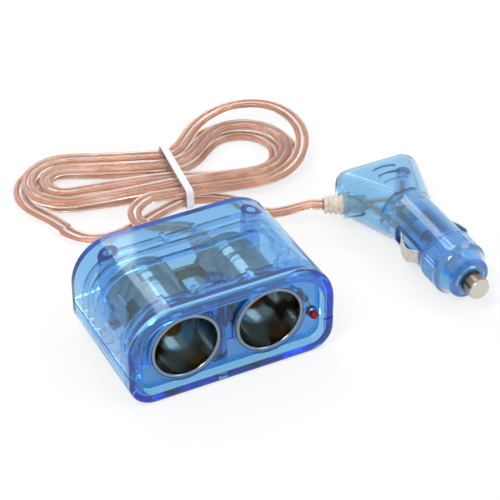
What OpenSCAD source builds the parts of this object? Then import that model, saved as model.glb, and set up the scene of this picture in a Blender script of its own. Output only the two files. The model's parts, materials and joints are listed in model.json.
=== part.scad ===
// Twin 12 V socket splitter: a transparent two-shell housing with two accessory
// sockets, a figure-8 lead laid in a tied hank, and a fused accessory plug.
// X runs to the right along the sockets, Y to the rear, Z up. The origin is the
// middle of the housing's base. All lengths are millimetres.

/* [Housing] */
// Room from the left tube to the housing's side
left_room = 8.85; // [8:0.05:11]
// Room from the right tube to the housing's side, where the lamp is
right_room = 11.25; // [11:0.05:14]
// Height of the tubes above the base
floor_room = 6.1; // [5.6:0.1:8]
// Height of the top above the tubes
top_room = 6.3; // [6:0.1:9]
// Depth behind the tubes, for the straps and the cord
rear_room = 14; // [13.5:0.1:18]
// How far the top falls from the front to the rear
top_fall = 1; // [0:0.2:1.4]
// Radius of the two upper corners, seen from the front
top_r = 15; // [10:0.5:16]
// Radius of the two lower corners, seen from the front
bottom_r = 8.4; // [6:0.2:11]
// Wall thickness of both shells
shell_wall = 1.8; // [1.4:0.1:2.2]
// Height of the parting line above the base
parting_z = 12.4; // [11:0.2:13]
// Rounding of the front rim's outer edge
rim_round = 1.6; // [0.8:0.1:2]
// Rounding of the rear edge
rear_round = 1; // [0.5:0.1:1.4]
// Width of the front rim, seen from the front
rim_w = 4; // [3.6:0.1:4.4]
// Depth of the front panel's face behind the rim
panel_recess = 3.2; // [2.6:0.1:4]
// Thickness of the front panel
panel_t = 2; // [1.6:0.1:2.4]

/* [Sockets] */
// Inner diameter of each socket tube
socket_bore = 21.2; // [21:0.1:21.6]
// Wall thickness of the socket tubes
socket_wall = 0.5; // [0.4:0.05:0.6]
// Length of each tube behind the panel's face
socket_len = 29.8; // [28:0.1:32]
// Gap between the two tubes
socket_gap = 7; // [6.8:0.1:9]
// Radius of the bead rolled on each tube's mouth
lip_r = 0.7; // [0.5:0.05:0.8]
// Height of the panel's collars
collar_h = 1; // [0.6:0.1:1.4]
// Thickness of the panel's collars
collar_t = 0.9; // [0.7:0.1:1]
// Diameter of the indicator lamp
lamp_d = 3; // [2.6:0.1:3.2]

/* [Plug] */
// Diameter of the knurled nose nut
nut_d = 19.8; // [19.4:0.1:20.6]
// Length of the nose nut
nut_l = 16; // [15:0.5:18]
// Diameter of the plug's barrel
barrel_d = 18.6; // [18:0.1:19]
// Length of the barrel between the nut and the head
barrel_l = 20; // [20:0.5:24]
// Diameter of the centre contact pin
pin_d = 7.8; // [7:0.1:8]
// How far the pin stands out of the nut at rest
pin_out = 6; // [5:0.5:7]
// Travel of the pin when it is pressed in
pin_travel = 3; // [2:0.5:3]
// Thickness of the plug's head
head_t = 18; // [17:0.5:19]
// Width of the plug's head at its rear
head_w = 32; // [30:0.5:34]
// Length of the head behind the nut's back face
head_l = 51; // [49:0.5:54]
// How far each side contact stands out from the plug's axis
contact_reach = 12; // [11.6:0.1:12.2]
// Width of each side contact
contact_w = 5; // [4:0.1:5.4]

/* [Fuse] */
// Diameter of the glass fuse
fuse_d = 6; // [5:0.1:6.3]
// Length of the glass fuse
fuse_l = 30; // [29:0.5:30]
// Wire diameter of the fuse spring
spring_wire = 0.8; // [0.6:0.05:0.9]
// Number of turns in the fuse spring
spring_turns = 6; // [4:1:7]

/* [Cord] */
// Width of the twin cord
cord_w = 5.2; // [4.8:0.1:5.2]
// Thickness of the twin cord
cord_t = 2.6; // [2.4:0.1:2.6]

/* [Hidden] */

// General clearances and resolution
overrun = 1;
skin = 0.01;
seat_gap = 0.05;
run_gap = 0.05;
free_gap = 0.3;
corner_steps = 10;
round_fn = 64;
small_fn = 32;
hull_fn = 32;

// Housing: built round its two tubes; stations along Y and derived sizes
tube_r = socket_bore / 2 + socket_wall;
body_w = left_room + 4 * tube_r + socket_gap + right_room;
body_d = panel_recess + socket_len + rear_room;
body_h = floor_room + 2 * tube_r + top_room;
left_x = -body_w / 2 + left_room + tube_r;
right_x = body_w / 2 - right_room - tube_r;
mid_x = (left_x + right_x) / 2;
socket_z = floor_room + tube_r;
front_y = -body_d / 2;
rear_y = body_d / 2;
panel_y = front_y + panel_recess;
slot_y = panel_y + panel_t + 2 * seat_gap;
groove_rib_t = 1.2;
rib_y = slot_y + groove_rib_t;
groove_depth = 1.8;
groove_inset = rim_w - groove_depth;
inner_rear_y = rear_y - shell_wall;
tube_end_y = panel_y + socket_len;
base_t = 2.4;
base_y = tube_end_y + 3 * seat_gap;
strap_y = base_y + base_t;
lip_out_r = socket_bore / 2 + 2 * lip_r;
collar_in_r = lip_out_r + 2 * seat_gap;
collar_out_r = collar_in_r + collar_t;
parting_groove = 0.5;

// Housing: stiffening ribs under the top, as shares of the depth from the front
rib_shares = [0.162, 0.584, 0.707, 0.803];
rib_t = 1.1;
rib_h = 1.5;
rib_tab_w = 1.6;
rib_tab_shares = [[0.162, [-0.288, -0.133, 0.133, 0.274]], [0.803, [-0.087, 0.066]]];
side_rib_shares = [0.54, 0.66, 0.74];
side_rib_h = 1.1;
label_w = 46.6;
label_l = 8.4;
label_deep = 0.35;
label_y = -1;

// Housing: screws and their posts
post_r = 3.2;
post_gap = 0.6;
post_cap = 1.5 * shell_wall;
rear_post_x = body_w / 2 - 3.3 * post_r;
rear_post_y = strap_y + post_gap + post_r;
front_post_y = rib_y + post_r + 0.4 * post_r;
post_places = [[-rear_post_x, rear_post_y], [rear_post_x, rear_post_y], [mid_x, front_post_y]];
screw_r = 1.45;
screw_head_r = 2.6;
screw_head_t = 1.9;
screw_sink = 1.5;
screw_len = 12;
screw_cross_w = 0.7;
screw_cross_l = 3.2;
screw_cross_deep = 0.9;

// Socket insulators, rivets and straps
rivet_r = 2;
rivet_head_r = 3.6;
rivet_tail_r = 2.8;
rivet_head_t = 0.8;
strap_t = 0.6;
strap_w = 6;
strap_end = 4.5;
ground_w = 6;
ground_y = -1;
ground_gap = seat_gap;
ground_rise = 19;
pad_w = 6;
saddle_w = 9;
saddle_h = 5.4;
saddle_t = 1.4;
saddle_shares = [0.36, 0.64];

// Lamp, resistor and their leads
lamp_gap = 5;
lamp_drop = 4;
lamp_x = right_x + tube_r + lamp_gap;
lamp_z = socket_z - lamp_drop;
lamp_out = 0.8;
lamp_flange = 0.4;
lamp_flange_t = 1;
lead_r = 0.25;
resistor_r = 1.1;
resistor_waist_r = 0.85;
resistor_l = 6;
resistor_end = 1.3;
resistor_gap = 3.4;
lead_pitch = 1.2;

// Insulated leads inside both casings
wire_r = 0.9;
wire_sides = 8;
wire_apart = 1.15;
wire_gap = 0.12;

// Cord grommet in the rear wall
grommet_out = 0.6;
grommet_x = right_x + grommet_out;
grommet_z = parting_z;
grommet_neck_r = 3.2;
grommet_flange_r = 4.3;
grommet_flange_t = 1.4;
grommet_root_r = 4.2;
grommet_tip_r = 3.2;
grommet_l = 11.5;
relief_ribs = 4;
relief_groove = 0.5;

// Plug: places and stations; s runs along Y from the nut's back face
plug_x = 86;
plug_y = -9;
plug_z = nut_d / 2;
barrel_r = barrel_d / 2;
spigot_r = 7.4;
spigot_l = 9;
fuse_bore_r = fuse_d / 2 + 1.4;
barrel_wall = 1.9;
barrel_front_t = 1.6;
nose_wall = 1.6;
nose_tip_r = 5.4;
nose_step_r = 7.4;
nose_lip_l = 1.4;
nose_cone_l = 4.6;
nose_ring_l = 1.2;
knurl_teeth = 44;
knurl_deep = 0.45;
knurl_start = 1;
flange_r = 4.9;
flange_t = 1.2;
flange_front_s = -nut_l + nose_wall + run_gap;
fuse_front_s = flange_front_s + flange_t;
fuse_rear_s = fuse_front_s + fuse_l;
fuse_cap_l = 6;
fuse_cap_t = 0.2;
spring_len = 9.6;
spring_r = 2.3;
spring_front_s = fuse_rear_s;
spring_rear_s = spring_front_s + spring_len;
terminal_r = 3.4;
terminal_t = 0.8;
stem_r = 1.4;
stem_l = 3.6;
bulkhead_t = 1.4;
bulkhead_s = spring_rear_s + terminal_t;
head_round = 5.6;
head_wall = 1.7;
rear_corner_r = 5.6;
neck_s = barrel_l + 2.6;
rear_left_x = rear_corner_r - 0.52 * head_w;
rear_right_x = 0.475 * head_w - rear_corner_r;
rear_corner_s = head_l - rear_corner_r;
neck_lift = 0.5;
neck_edge = 2;
grip_slots = 3;
grip_pitch = 4;
grip_start = 1.8;
grip_w = 9;
grip_deep = 0.5;
grip_arc_r = 11;

// Plug: side contacts, which turn about their rooted rear ends
leaf_t = 0.5;
leaf_root_s = 20;
leaf_root_x = 6.6;
leaf_root_l = 2.4;
slot_front_s = 2.2;
slot_rear_s = 17.6;
bridge_r = 6.2;
bridge_t = 0.5;
bridge_w = 2.4;
bridge_s = leaf_root_s + leaf_root_l + free_gap;

// Plug: cord relief, which leaves the head to the rear left
relief_turn = 63.4;
relief_x = -9.5;
relief_s = 37;
relief_neck = 4.6;
relief_boss = 6.4;
relief_collar = 1.6;
relief_end = 14.6;
relief_neck_r = 3.1;
relief_root_r = 3.9;
relief_tip_r = 3.2;
relief_boss_wall = 1;
plug_screw_places = [[5.6, 38.5]];
plug_post_r = 2.6;
plug_screw_r = 1;
plug_screw_head_r = 1.9;
plug_screw_head_t = 1.3;
plug_screw_sink = 1;
plug_screw_len = 11;

// Cord: the hank's middle, its lie and its loops
hank_x = 28.5;
hank_y = 82;
hank_turn = -7;
hank_step = 6.25;
waist_half = 1.5;
left_lobe_x = 38.2;
left_lobe_v = 8;
left_lobe_r = 5.8;
right_lobe_x = 28.2;
right_lobe_v = 7.2;
right_lobe_r = 11;
waist_far_r = 18.5;
waist_near_r = 23;
hank_start = -0.25;
hank_turns = 3.81;
hank_middle = 1.75;
hank_rings = 24;
layer_rise = cord_t + 0.8;
waist_lift = 1;
waist_reach = 15;
climb_share = 0.22;
loose_lift = 6;
loose_turns = [-0.12, 0.22];

// Cable tie round the hank's waist
tie_t = 0.8;
tie_w = 2.6;
tie_gap = 0.55;
tie_near = waist_half + 2 * hank_step + cord_w / 2 + tie_gap;
tie_far = waist_half + 1.5 * hank_step + cord_w / 2 + tie_gap;

// The cord's free routes, chosen by hand on the table and up to each end
route_to_housing = [[13.6, 41.6, 11.6], [11.4, 47, 9], [7.4, 53, 6.4], [5, 58.4, 4.95],
                    [4.8, 63.8, 4.85], [7.4, 68.4, 5.2]];
route_to_plug = [[-18.2, 71, 1.45], [-14.6, 64.8, 1.45], [-8, 61.4, 1.45], [0, 61.6, 1.45], [8, 64, 1.45],
                 [17, 66.8, 1.7], [26.5, 68.2, 2.3], [35, 66.4, 1.6], [41.4, 61.6, 1.45], [45.2, 54.8, 1.55],
                 [47.8, 47.8, 2.8], [52, 41.8, 6.2]];

// Sizes that several pieces share
function top_at(y) = body_h - top_fall * (y - front_y) / body_d;
function cap(v) = v / norm(v);
function mix(a, b, t) = a + (b - a) * t;
function ramp(t) = let (c = max(0, min(1, t))) c * c * (3 - 2 * c);
function catmull(a, b, c, d, t) =
    0.5 * (2 * b + (c - a) * t + (2 * a - 5 * b + 4 * c - d) * t * t + (3 * b - a - 3 * c + d) * t * t * t);
function curved(route, n) =
    [for (i = [0:len(route) - 2])
        let (a = route[max(0, i - 1)], b = route[i], c = route[i + 1], d = route[min(len(route) - 1, i + 2)])
            for (k = [0:n - 1]) catmull(a, b, c, d, k / n),
     route[len(route) - 1]];
function path_length(p) =
    let (leg = [for (i = [1:len(p) - 1]) norm(p[i] - p[i - 1])])
        leg * [for (l = leg) 1];

// Points of the housing's outline, seen from the front, drawn in by an inset
function arc_points(cx, cz, r, from) =
    [for (k = [0:corner_steps])
        let (a = from + 90 * k / corner_steps) [cx + r * cos(a), cz + r * sin(a)]];
function body_outline(inset, top) =
    let (hw = body_w / 2 - inset, rt = top_r - inset, rb = bottom_r - inset)
        concat(arc_points(hw - rt, top - inset - rt, rt, 0),
               arc_points(-hw + rt, top - inset - rt, rt, 90),
               arc_points(-hw + rb, inset + rb, rb, 180),
               arc_points(hw - rb, inset + rb, rb, 270));

// A slab of the housing's outline between two stations along Y
module slab(inset, y0, y1) {
    translate([0, y1, 0])
        rotate([90, 0, 0])
            linear_extrude(y1 - y0)
                polygon(body_outline(inset, top_at((y0 + y1) / 2)));
}

// The housing's outer body, with its rounded rim and rear edge
module outer_body() {
    hull() {
        for (a = [0:22.5:90]) {
            slab(rim_round * (1 - cos(a)), front_y + rim_round * (1 - sin(a)),
                 front_y + rim_round * (1 - sin(a)) + skin);
            slab(rear_round * (1 - cos(a)), rear_y - rear_round * (1 - sin(a)) - skin,
                 rear_y - rear_round * (1 - sin(a)));
        }
    }
}

// What is hollow inside the two shells: rim opening, panel groove, main space
module housing_space() {
    slab(rim_w, front_y - overrun, rib_y + overrun);
    slab(groove_inset, panel_y, slot_y);
    hull() {
        slab(shell_wall, rib_y, rib_y + skin);
        slab(shell_wall, inner_rear_y - skin, inner_rear_y);
    }
    grommet_hole();
}

module grommet_hole() {
    translate([grommet_x, inner_rear_y - overrun, grommet_z])
        rotate([-90, 0, 0])
            cylinder(r = grommet_neck_r + run_gap, h = shell_wall + 2 * overrun, $fn = round_fn);
}

// A round bar along Y
module bar_y(x, z, r, y0, y1) {
    translate([x, y0, z])
        rotate([-90, 0, 0])
            cylinder(r = r, h = y1 - y0, $fn = round_fn);
}

// A profile of [radius, station] points turned about an axis along Y
module turned_y(x, y, z, points) {
    translate([x, y, z])
        rotate([-90, 0, 0])
            rotate_extrude($fn = round_fn)
                polygon(points);
}

// Space that both socket tubes need in a rib or a saddle
module tube_room() {
    for (x = [left_x, right_x])
        bar_y(x, socket_z, tube_r + free_gap, panel_y, strap_y + overrun);
}

// Ribs that follow the top's inside, with small locating tabs
module top_ribs() {
    for (share = rib_shares) {
        y = front_y + share * body_d;
        difference() {
            slab(shell_wall / 2 + top_fall / 2, y, y + rib_t);
            slab(shell_wall + rib_h, y - overrun, y + rib_t + overrun);
        }
    }
    for (row = rib_tab_shares, share = row[1]) {
        y = front_y + row[0] * body_d;
        translate([share * body_w - rib_tab_w / 2, y - rib_tab_w, top_at(y) - shell_wall - rib_h])
            cube([rib_tab_w, rib_t + 2 * rib_tab_w, rib_h + shell_wall / 2]);
    }
}

// Keeps only what lies above or below the parting line
module above_parting() {
    intersection() {
        children();
        translate([-body_w, -body_d, parting_z + seat_gap])
            cube([2 * body_w, 2 * body_d, body_h]);
    }
}

module below_parting() {
    intersection() {
        children();
        translate([-body_w, -body_d, -overrun])
            cube([2 * body_w, 2 * body_d, parting_z + overrun]);
    }
}

module upper_shell() {
    color("#3F86D8")
        difference() {
            above_parting() {
                difference() {
                    outer_body();
                    housing_space();
                }
                difference() {
                    union() {
                        top_ribs();
                        intersection() {
                            slab(shell_wall / 2 + top_fall, front_y + shell_wall, rear_y - shell_wall / 2);
                            for (p = post_places)
                                translate([p[0], p[1], parting_z])
                                    cylinder(r = post_r, h = body_h, $fn = small_fn);
                        }
                    }
                    tube_room();
                }
            }
            for (p = post_places)
                translate([p[0], p[1], parting_z - overrun])
                    cylinder(r = screw_r + seat_gap, h = top_at(p[1]) - post_cap - parting_z + overrun,
                             $fn = small_fn);
            translate([-label_w / 2, label_y - label_l / 2, top_at(label_y + label_l / 2) - label_deep])
                cube([label_w, label_l, overrun]);
        }
}

module lower_shell() {
    color("#2F6FC8")
        difference() {
            union() {
                below_parting() {
                    difference() {
                        outer_body();
                        housing_space();
                    }
                    saddles();
                    strap_pads();
                    side_ribs();
                }
                for (p = post_places)
                    translate([p[0], p[1], shell_wall / 2])
                        cylinder(r = post_r, h = parting_z - shell_wall / 2, $fn = small_fn);
            }
            for (p = post_places) {
                translate([p[0], p[1], -overrun])
                    cylinder(r = screw_head_r + seat_gap, $fn = small_fn,
                             h = screw_sink + screw_head_t + overrun);
                translate([p[0], p[1], 0])
                    cylinder(r = screw_r + seat_gap, h = parting_z + overrun, $fn = small_fn);
            }
            parting_shadow();
        }
}

// Shadow line just under the parting, on the outside of the lower shell
module parting_shadow() {
    difference() {
        translate([-body_w, -body_d, parting_z - parting_groove])
            cube([2 * body_w, 2 * body_d, parting_groove + overrun]);
        slab(parting_groove, front_y + parting_groove, rear_y - parting_groove);
    }
}

// Curved blocks on the floor that the socket tubes lie in
module saddles() {
    difference() {
        for (x = [left_x, right_x], share = saddle_shares)
            translate([x - saddle_w, front_y + share * body_d, shell_wall / 2])
                cube([2 * saddle_w, saddle_t, saddle_h + shell_wall / 2]);
        for (x = [left_x, right_x])
            bar_y(x, socket_z, tube_r + seat_gap, front_y, strap_y + overrun);
    }
}

// Short upright ribs inside both sides
module side_ribs() {
    for (share = side_rib_shares) {
        y = front_y + share * body_d;
        difference() {
            slab(shell_wall / 2, y, y + rib_t);
            slab(shell_wall + side_rib_h, y - overrun, y + rib_t + overrun);
            translate([-body_w / 2 + bottom_r, y - overrun, 0])
                cube([body_w - 2 * bottom_r, rib_t + 2 * overrun, parting_z]);
        }
    }
}

// Low pads under the ground strap
module strap_pads() {
    for (x = [left_x, right_x])
        translate([x - pad_w / 2, ground_y - ground_w / 2, shell_wall / 2])
            cube([pad_w, ground_w, ground_base_z - shell_wall / 2]);
}

module front_panel() {
    color("#4C93DE")
        difference() {
            union() {
                slab(groove_inset + free_gap, panel_y + seat_gap, panel_y + panel_t);
                for (x = [left_x, right_x])
                    bar_y(x, socket_z, collar_out_r, panel_y - collar_h, panel_y + 2 * seat_gap);
            }
            for (x = [left_x, right_x]) {
                bar_y(x, socket_z, tube_r + run_gap, panel_y - collar_h - overrun,
                      panel_y + panel_t + overrun);
                bar_y(x, socket_z, collar_in_r, panel_y - collar_h - overrun, panel_y + seat_gap);
            }
            bar_y(lamp_x, lamp_z, lamp_d / 2 + run_gap, panel_y - overrun, panel_y + panel_t + overrun);
        }
}

// One drawn tube with a bead rolled on its mouth
module socket_tube(x) {
    lip_mid = -lip_r - seat_gap;
    translate([x, panel_y, socket_z])
        rotate([-90, 0, 0]) {
            rotate_extrude($fn = round_fn)
                polygon([[socket_bore / 2, lip_mid], [tube_r, lip_mid], [tube_r, socket_len],
                         [socket_bore / 2, socket_len]]);
            rotate_extrude($fn = round_fn)
                translate([socket_bore / 2 + lip_r, lip_mid])
                    circle(r = lip_r, $fn = small_fn);
        }
}

module left_socket() {
    color("#C4C0B8") socket_tube(left_x);
}

module right_socket() {
    color("#C4C0B8") socket_tube(right_x);
}

// Insulating disc behind the tube's end, with a recess for the rivet's head
module socket_base(x) {
    hole = rivet_r + seat_gap;
    recess = rivet_head_r + seat_gap;
    turned_y(x, base_y, socket_z,
             [[hole, rivet_head_t], [recess, rivet_head_t], [recess, 0], [tube_r, 0], [tube_r, base_t],
              [hole, base_t]]);
}

module left_socket_base() {
    color("#3F86D8") socket_base(left_x);
}

module right_socket_base() {
    color("#3F86D8") socket_base(right_x);
}

// Rivet that is the socket's centre contact: head flush in the disc, tail on the strap
module centre_contact(x) {
    shank = base_t + strap_t;
    turned_y(x, base_y, socket_z,
             [[0, 0], [rivet_head_r / 2, 0], [rivet_head_r, rivet_head_t / 2],
              [rivet_head_r, rivet_head_t], [rivet_r, rivet_head_t], [rivet_r, shank], [rivet_tail_r, shank],
              [rivet_tail_r, shank + rivet_head_t / 2], [rivet_tail_r / 2, shank + rivet_head_t],
              [0, shank + rivet_head_t]]);
}

module left_centre_contact() {
    color("#C9A25A") centre_contact(left_x);
}

module right_centre_contact() {
    color("#C9A25A") centre_contact(right_x);
}

// Brass strip that links the two rivets behind the sockets
module positive_strap() {
    color("#C9A25A")
        difference() {
            translate([left_x - strap_end, strap_y, socket_z - strap_w / 2])
                cube([right_x - left_x + 2 * strap_end, strap_t, strap_w]);
            for (x = [left_x, right_x])
                bar_y(x, socket_z, rivet_r + seat_gap, strap_y - overrun, strap_y + strap_t + overrun);
        }
}

// Strip under both tubes that turns up beside the left one
ground_top_z = socket_z - tube_r - ground_gap;
ground_base_z = ground_top_z - strap_t;
ground_left_x = left_x - tube_r - free_gap - strap_t;

module ground_strap() {
    color("#B9BABD") {
        translate([ground_left_x, ground_y - ground_w / 2, ground_base_z])
            cube([right_x + strap_end - ground_left_x, ground_w, strap_t]);
        translate([ground_left_x, ground_y - ground_w / 2, ground_base_z + strap_t])
            cube([strap_t, ground_w, ground_rise]);
    }
}

module indicator_lamp() {
    color("#D01018")
        translate([lamp_x, panel_y, lamp_z])
            rotate([-90, 0, 0])
                rotate_extrude($fn = small_fn)
                    union() {
                        translate([0, -lamp_out])
                            square([lamp_d / 2, lamp_out + panel_t]);
                        translate([0, panel_t])
                            square([lamp_d / 2 + lamp_flange, lamp_flange_t]);
                        intersection() {
                            translate([0, -lamp_out])
                                circle(r = lamp_d / 2, $fn = small_fn);
                            translate([0, -lamp_out - lamp_d])
                                square([lamp_d, lamp_d + skin]);
                        }
                    }
}

lamp_back_y = panel_y + panel_t + lamp_flange_t;
resistor_y = lamp_back_y + resistor_gap;

module lamp_resistor() {
    color("#C8A878")
        turned_y(lamp_x + lead_pitch / 2, resistor_y, lamp_z + lead_pitch,
                 [[0, 0], [resistor_r / 2, 0], [resistor_r, resistor_end / 3],
                  [resistor_r, resistor_end], [resistor_waist_r, resistor_end + resistor_end / 3],
                  [resistor_waist_r, resistor_l - resistor_end - resistor_end / 3],
                  [resistor_r, resistor_l - resistor_end], [resistor_r, resistor_l - resistor_end / 3],
                  [resistor_r / 2, resistor_l], [0, resistor_l]]);
}

// Bare lamp leads: to the resistor, on to the strap, and down to the right tube
module lamp_leads() {
    lx = lamp_x + lead_pitch / 2;
    lz = lamp_z + lead_pitch;
    y0 = lamp_back_y + seat_gap;
    y1 = resistor_y - seat_gap;
    y2 = resistor_y + resistor_l + seat_gap;
    strap_x = right_x + strap_end - lead_r * 4;
    strap_mid_y = strap_y + strap_t / 2;
    strap_low = socket_z - strap_w / 2 - seat_gap;
    low = 3.6 * shell_wall;
    side_z = lamp_z - lead_pitch / 3;
    side_y = lamp_back_y + 4 * lead_pitch;
    color("#C9C5BC") {
        tube(curved([[lx, y0, lamp_z], [lx, mix(y0, y1, 0.25), lamp_z], [lx, mix(y0, y1, 0.75), lz],
                     [lx, mix(y0, y1, 0.88), lz], [lx, y1, lz]], 2), lead_r, lead_r, wire_sides);
        tube(curved([[lx, y2, lz], [lx, y2 + lead_pitch / 2, lz], [lx, y2 + lead_pitch, lz],
                     [lx, mix(resistor_y, tube_end_y, 0.7), mix(lz, 2 * shell_wall, 0.5)],
                     [mix(lx, strap_x, 0.4), strap_mid_y - lead_pitch, low],
                     [mix(lx, strap_x, 0.85), strap_mid_y, low],
                     [strap_x, strap_mid_y, strap_low - lead_pitch], [strap_x, strap_mid_y, strap_low]], 3),
             lead_r, lead_r, wire_sides);
        tube(curved([[lamp_x - lead_pitch / 2, y0, side_z],
                     [lamp_x - lead_pitch / 2, y0 + lead_pitch, side_z],
                     [mix(lamp_x, right_x + tube_r, 0.5), lamp_back_y + 3 * lead_pitch, lamp_z - lead_pitch],
                     beside_tube(side_y, lead_pitch), beside_tube(side_y, seat_gap)], 2),
             lead_r, lead_r, wire_sides);
    }
}

// A point out from the right tube's side, below its axis
function beside_tube(y, out) =
    [right_x + (tube_r + out) * cos(30), y, socket_z - (tube_r + out) * sin(30)];

// A tube of elliptical section swept along points: half-width a, half-height b
function path_side(p, i) =
    let (t = p[min(len(p) - 1, i + 1)] - p[max(0, i - 1)], s = cross(t, [0, 0, 1]))
        norm(s) < skin * norm(t) ? [1, 0, 0] : cap(s);
function path_ring(p, i, a, b, sides) =
    let (t = cap(p[min(len(p) - 1, i + 1)] - p[max(0, i - 1)]), s = path_side(p, i), u = cross(s, t))
        [for (k = [0:sides - 1]) p[i] + s * a * cos(360 * k / sides) + u * b * sin(360 * k / sides)];

module tube(p, a, b, sides) {
    n = len(p);
    points = [for (i = [0:n - 1]) each path_ring(p, i, a, b, sides)];
    walls = [for (i = [0:n - 2], k = [0:sides - 1])
                let (c = i * sides + k, d = i * sides + (k + 1) % sides)
                    each [[c, c + sides, d], [d, c + sides, d + sides]]];
    first_cap = [for (k = [1:sides - 2]) [0, k, k + 1]];
    last_cap = [for (k = [1:sides - 2]) [(n - 1) * sides, (n - 1) * sides + k + 1, (n - 1) * sides + k]];
    polyhedron(points, concat(walls, first_cap, last_cap), convexity = 8);
}

// Insulated leads from the grommet to the two straps
lead_start_y = inner_rear_y - grommet_flange_t - seat_gap - wire_gap;

module live_lead() {
    start = [grommet_x, lead_start_y, grommet_z + wire_apart];
    end = [right_x - 1.5 * strap_end, strap_y + strap_t + wire_gap, socket_z];
    step = [0, wire_r, 0];
    color("#D09070")
        tube(curved([start, start - step, start - step * 2,
                     [mix(start[0], end[0], 0.5), mix(start[1], end[1], 0.5), mix(start[2], end[2], 0.5)],
                     end + step * 2, end + step, end], 2), wire_r, wire_r, wire_sides);
}

module ground_lead() {
    start = [grommet_x, lead_start_y, grommet_z - wire_apart];
    end = [mid_x, ground_y + ground_w / 2 + wire_gap, ground_base_z + strap_t / 2];
    step = [0, wire_r, 0];
    color("#D09070")
        tube(curved([start, start - step, start - step * 2,
                     [mix(start[0], end[0], 0.25), mix(start[1], end[1], 0.28), mix(start[2], end[2], 0.6)],
                     [mix(start[0], end[0], 0.65), mix(start[1], end[1], 0.45), end[2]],
                     [mix(start[0], end[0], 0.93), mix(start[1], end[1], 0.68), end[2]],
                     end + step * 2, end + step, end], 2), wire_r, wire_r, wire_sides);
}

// Pan-head screws, driven up from the base
module housing_screws() {
    color("#9A9CA0")
        for (p = post_places)
            translate([p[0], p[1], screw_sink])
                difference() {
                    union() {
                        cylinder(r = screw_head_r, h = screw_head_t, $fn = small_fn);
                        translate([0, 0, screw_head_t])
                            cylinder(r = screw_r, h = screw_len, $fn = small_fn);
                    }
                    cross_recess(screw_cross_l, screw_cross_w, screw_cross_deep);
                }
}

module cross_recess(l, w, deep) {
    for (a = [0, 90])
        rotate(a)
            translate([-l / 2, -w / 2, -overrun])
                cube([l, w, deep + overrun]);
}

// Profile of a ribbed relief from its flange to its end, as [radius, station]
function ribbed(root_r, tip_r, start, end) =
    let (pitch = (end - start) / (2 * relief_ribs + 1))
        [for (i = [0:2 * relief_ribs], side = [0, 1])
            let (s = start + (i + side) * pitch, r = mix(root_r, tip_r, (i + 0.5) / (2 * relief_ribs + 1)))
                [i % 2 == 0 ? r : r - relief_groove, s]];

module cord_grommet() {
    color("#D9CDBE")
        turned_y(grommet_x, inner_rear_y - grommet_flange_t - seat_gap, grommet_z,
                 concat([[0, 0], [grommet_flange_r, 0], [grommet_flange_r, grommet_flange_t],
                         [grommet_neck_r, grommet_flange_t],
                         [grommet_neck_r, grommet_flange_t + shell_wall + 3 * seat_gap]],
                        ribbed(grommet_root_r, grommet_tip_r, grommet_flange_t + shell_wall + 3 * seat_gap,
                               grommet_flange_t + shell_wall + seat_gap + grommet_l),
                        [[0, grommet_flange_t + shell_wall + seat_gap + grommet_l]]));
}

// The hank: a closed line of arcs and straights, drawn outwards by a step each turn,
// with its last loop standing up beyond the waist, where it is free
quarter = 90;
function waist_turn(x, h, r, rw) =
    let (a = waist_half + rw - h) atan2(x, a) - acos((r + rw) / norm([x, a]));
far_right = waist_turn(right_lobe_x, right_lobe_v, right_lobe_r, waist_far_r);
far_left = waist_turn(left_lobe_x, left_lobe_v, left_lobe_r, waist_far_r);
near_right = waist_turn(right_lobe_x, -right_lobe_v, right_lobe_r, waist_near_r);
near_left = waist_turn(left_lobe_x, -left_lobe_v, left_lobe_r, waist_near_r);
hank_arcs = [[right_lobe_x, right_lobe_v, right_lobe_r, 1, 0, quarter + far_right],
             [0, waist_half + waist_far_r, waist_far_r, -1, far_right - quarter, -quarter - far_left],
             [-left_lobe_x, left_lobe_v, left_lobe_r, 1, quarter - far_left, 3 * quarter + near_left],
             [0, -waist_half - waist_near_r, waist_near_r, -1, quarter + near_left, quarter - near_right],
             [right_lobe_x, right_lobe_v, right_lobe_r, 1, -quarter - near_right, 0]];
function arc_at(g, a, out) = [g[0] + (g[2] + g[3] * out) * cos(a), g[1] + (g[2] + g[3] * out) * sin(a)];
function leg_length(i) =
    let (g = hank_arcs[floor(i / 2)], h = hank_arcs[floor(i / 2) + 1])
        i % 2 == 0 ? (g[2] + g[3] * hank_step) * abs(g[5] - g[4]) * PI / 180
                   : norm(arc_at(h, h[4], hank_step) - arc_at(g, g[5], hank_step));
leg_count = 2 * len(hank_arcs) - 1;
leg_ends = [for (i = 0, s = 0; i <= leg_count; s = s + (i < leg_count ? leg_length(i) : 0), i = i + 1) s];
function hank_local(t) =
    let (want = (t - floor(t)) * leg_ends[leg_count],
         i = min(len([for (e = leg_ends) if (e <= want) e]) - 1, leg_count - 1),
         f = (want - leg_ends[i]) / (leg_ends[i + 1] - leg_ends[i]),
         out = hank_step * abs(t - hank_middle), g = hank_arcs[floor(i / 2)], h = hank_arcs[floor(i / 2) + 1])
        i % 2 == 0 ? arc_at(g, mix(g[4], g[5], f), out) : mix(arc_at(g, g[5], out), arc_at(h, h[4], out), f);
function loose_at(t) = max(0, min(1, (t - loose_turns[0]) / (loose_turns[1] - loose_turns[0])));
function hank_z(t, u) =
    cord_t / 2 + layer_rise * (1 - ramp((t - hank_middle) / climb_share + 0.5))
        + waist_lift * exp(-pow(u / waist_reach, 2)) + loose_lift * pow(sin(180 * loose_at(t)), 2);
function hank_point(t) =
    let (p = hank_local(t))
        [hank_x + p[0] * cos(hank_turn) - p[1] * sin(hank_turn),
         hank_y + p[0] * sin(hank_turn) + p[1] * cos(hank_turn), hank_z(t, p[0])];
hank_steps = ceil(hank_turns * hank_rings);
hank_path = [for (i = [0:hank_steps]) hank_point(hank_start + hank_turns * i / hank_steps)];
hank_lead = cap(hank_path[1] - hank_path[0]) * cord_w / 2;
hank_in = hank_path[0] - hank_lead * 2;
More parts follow.
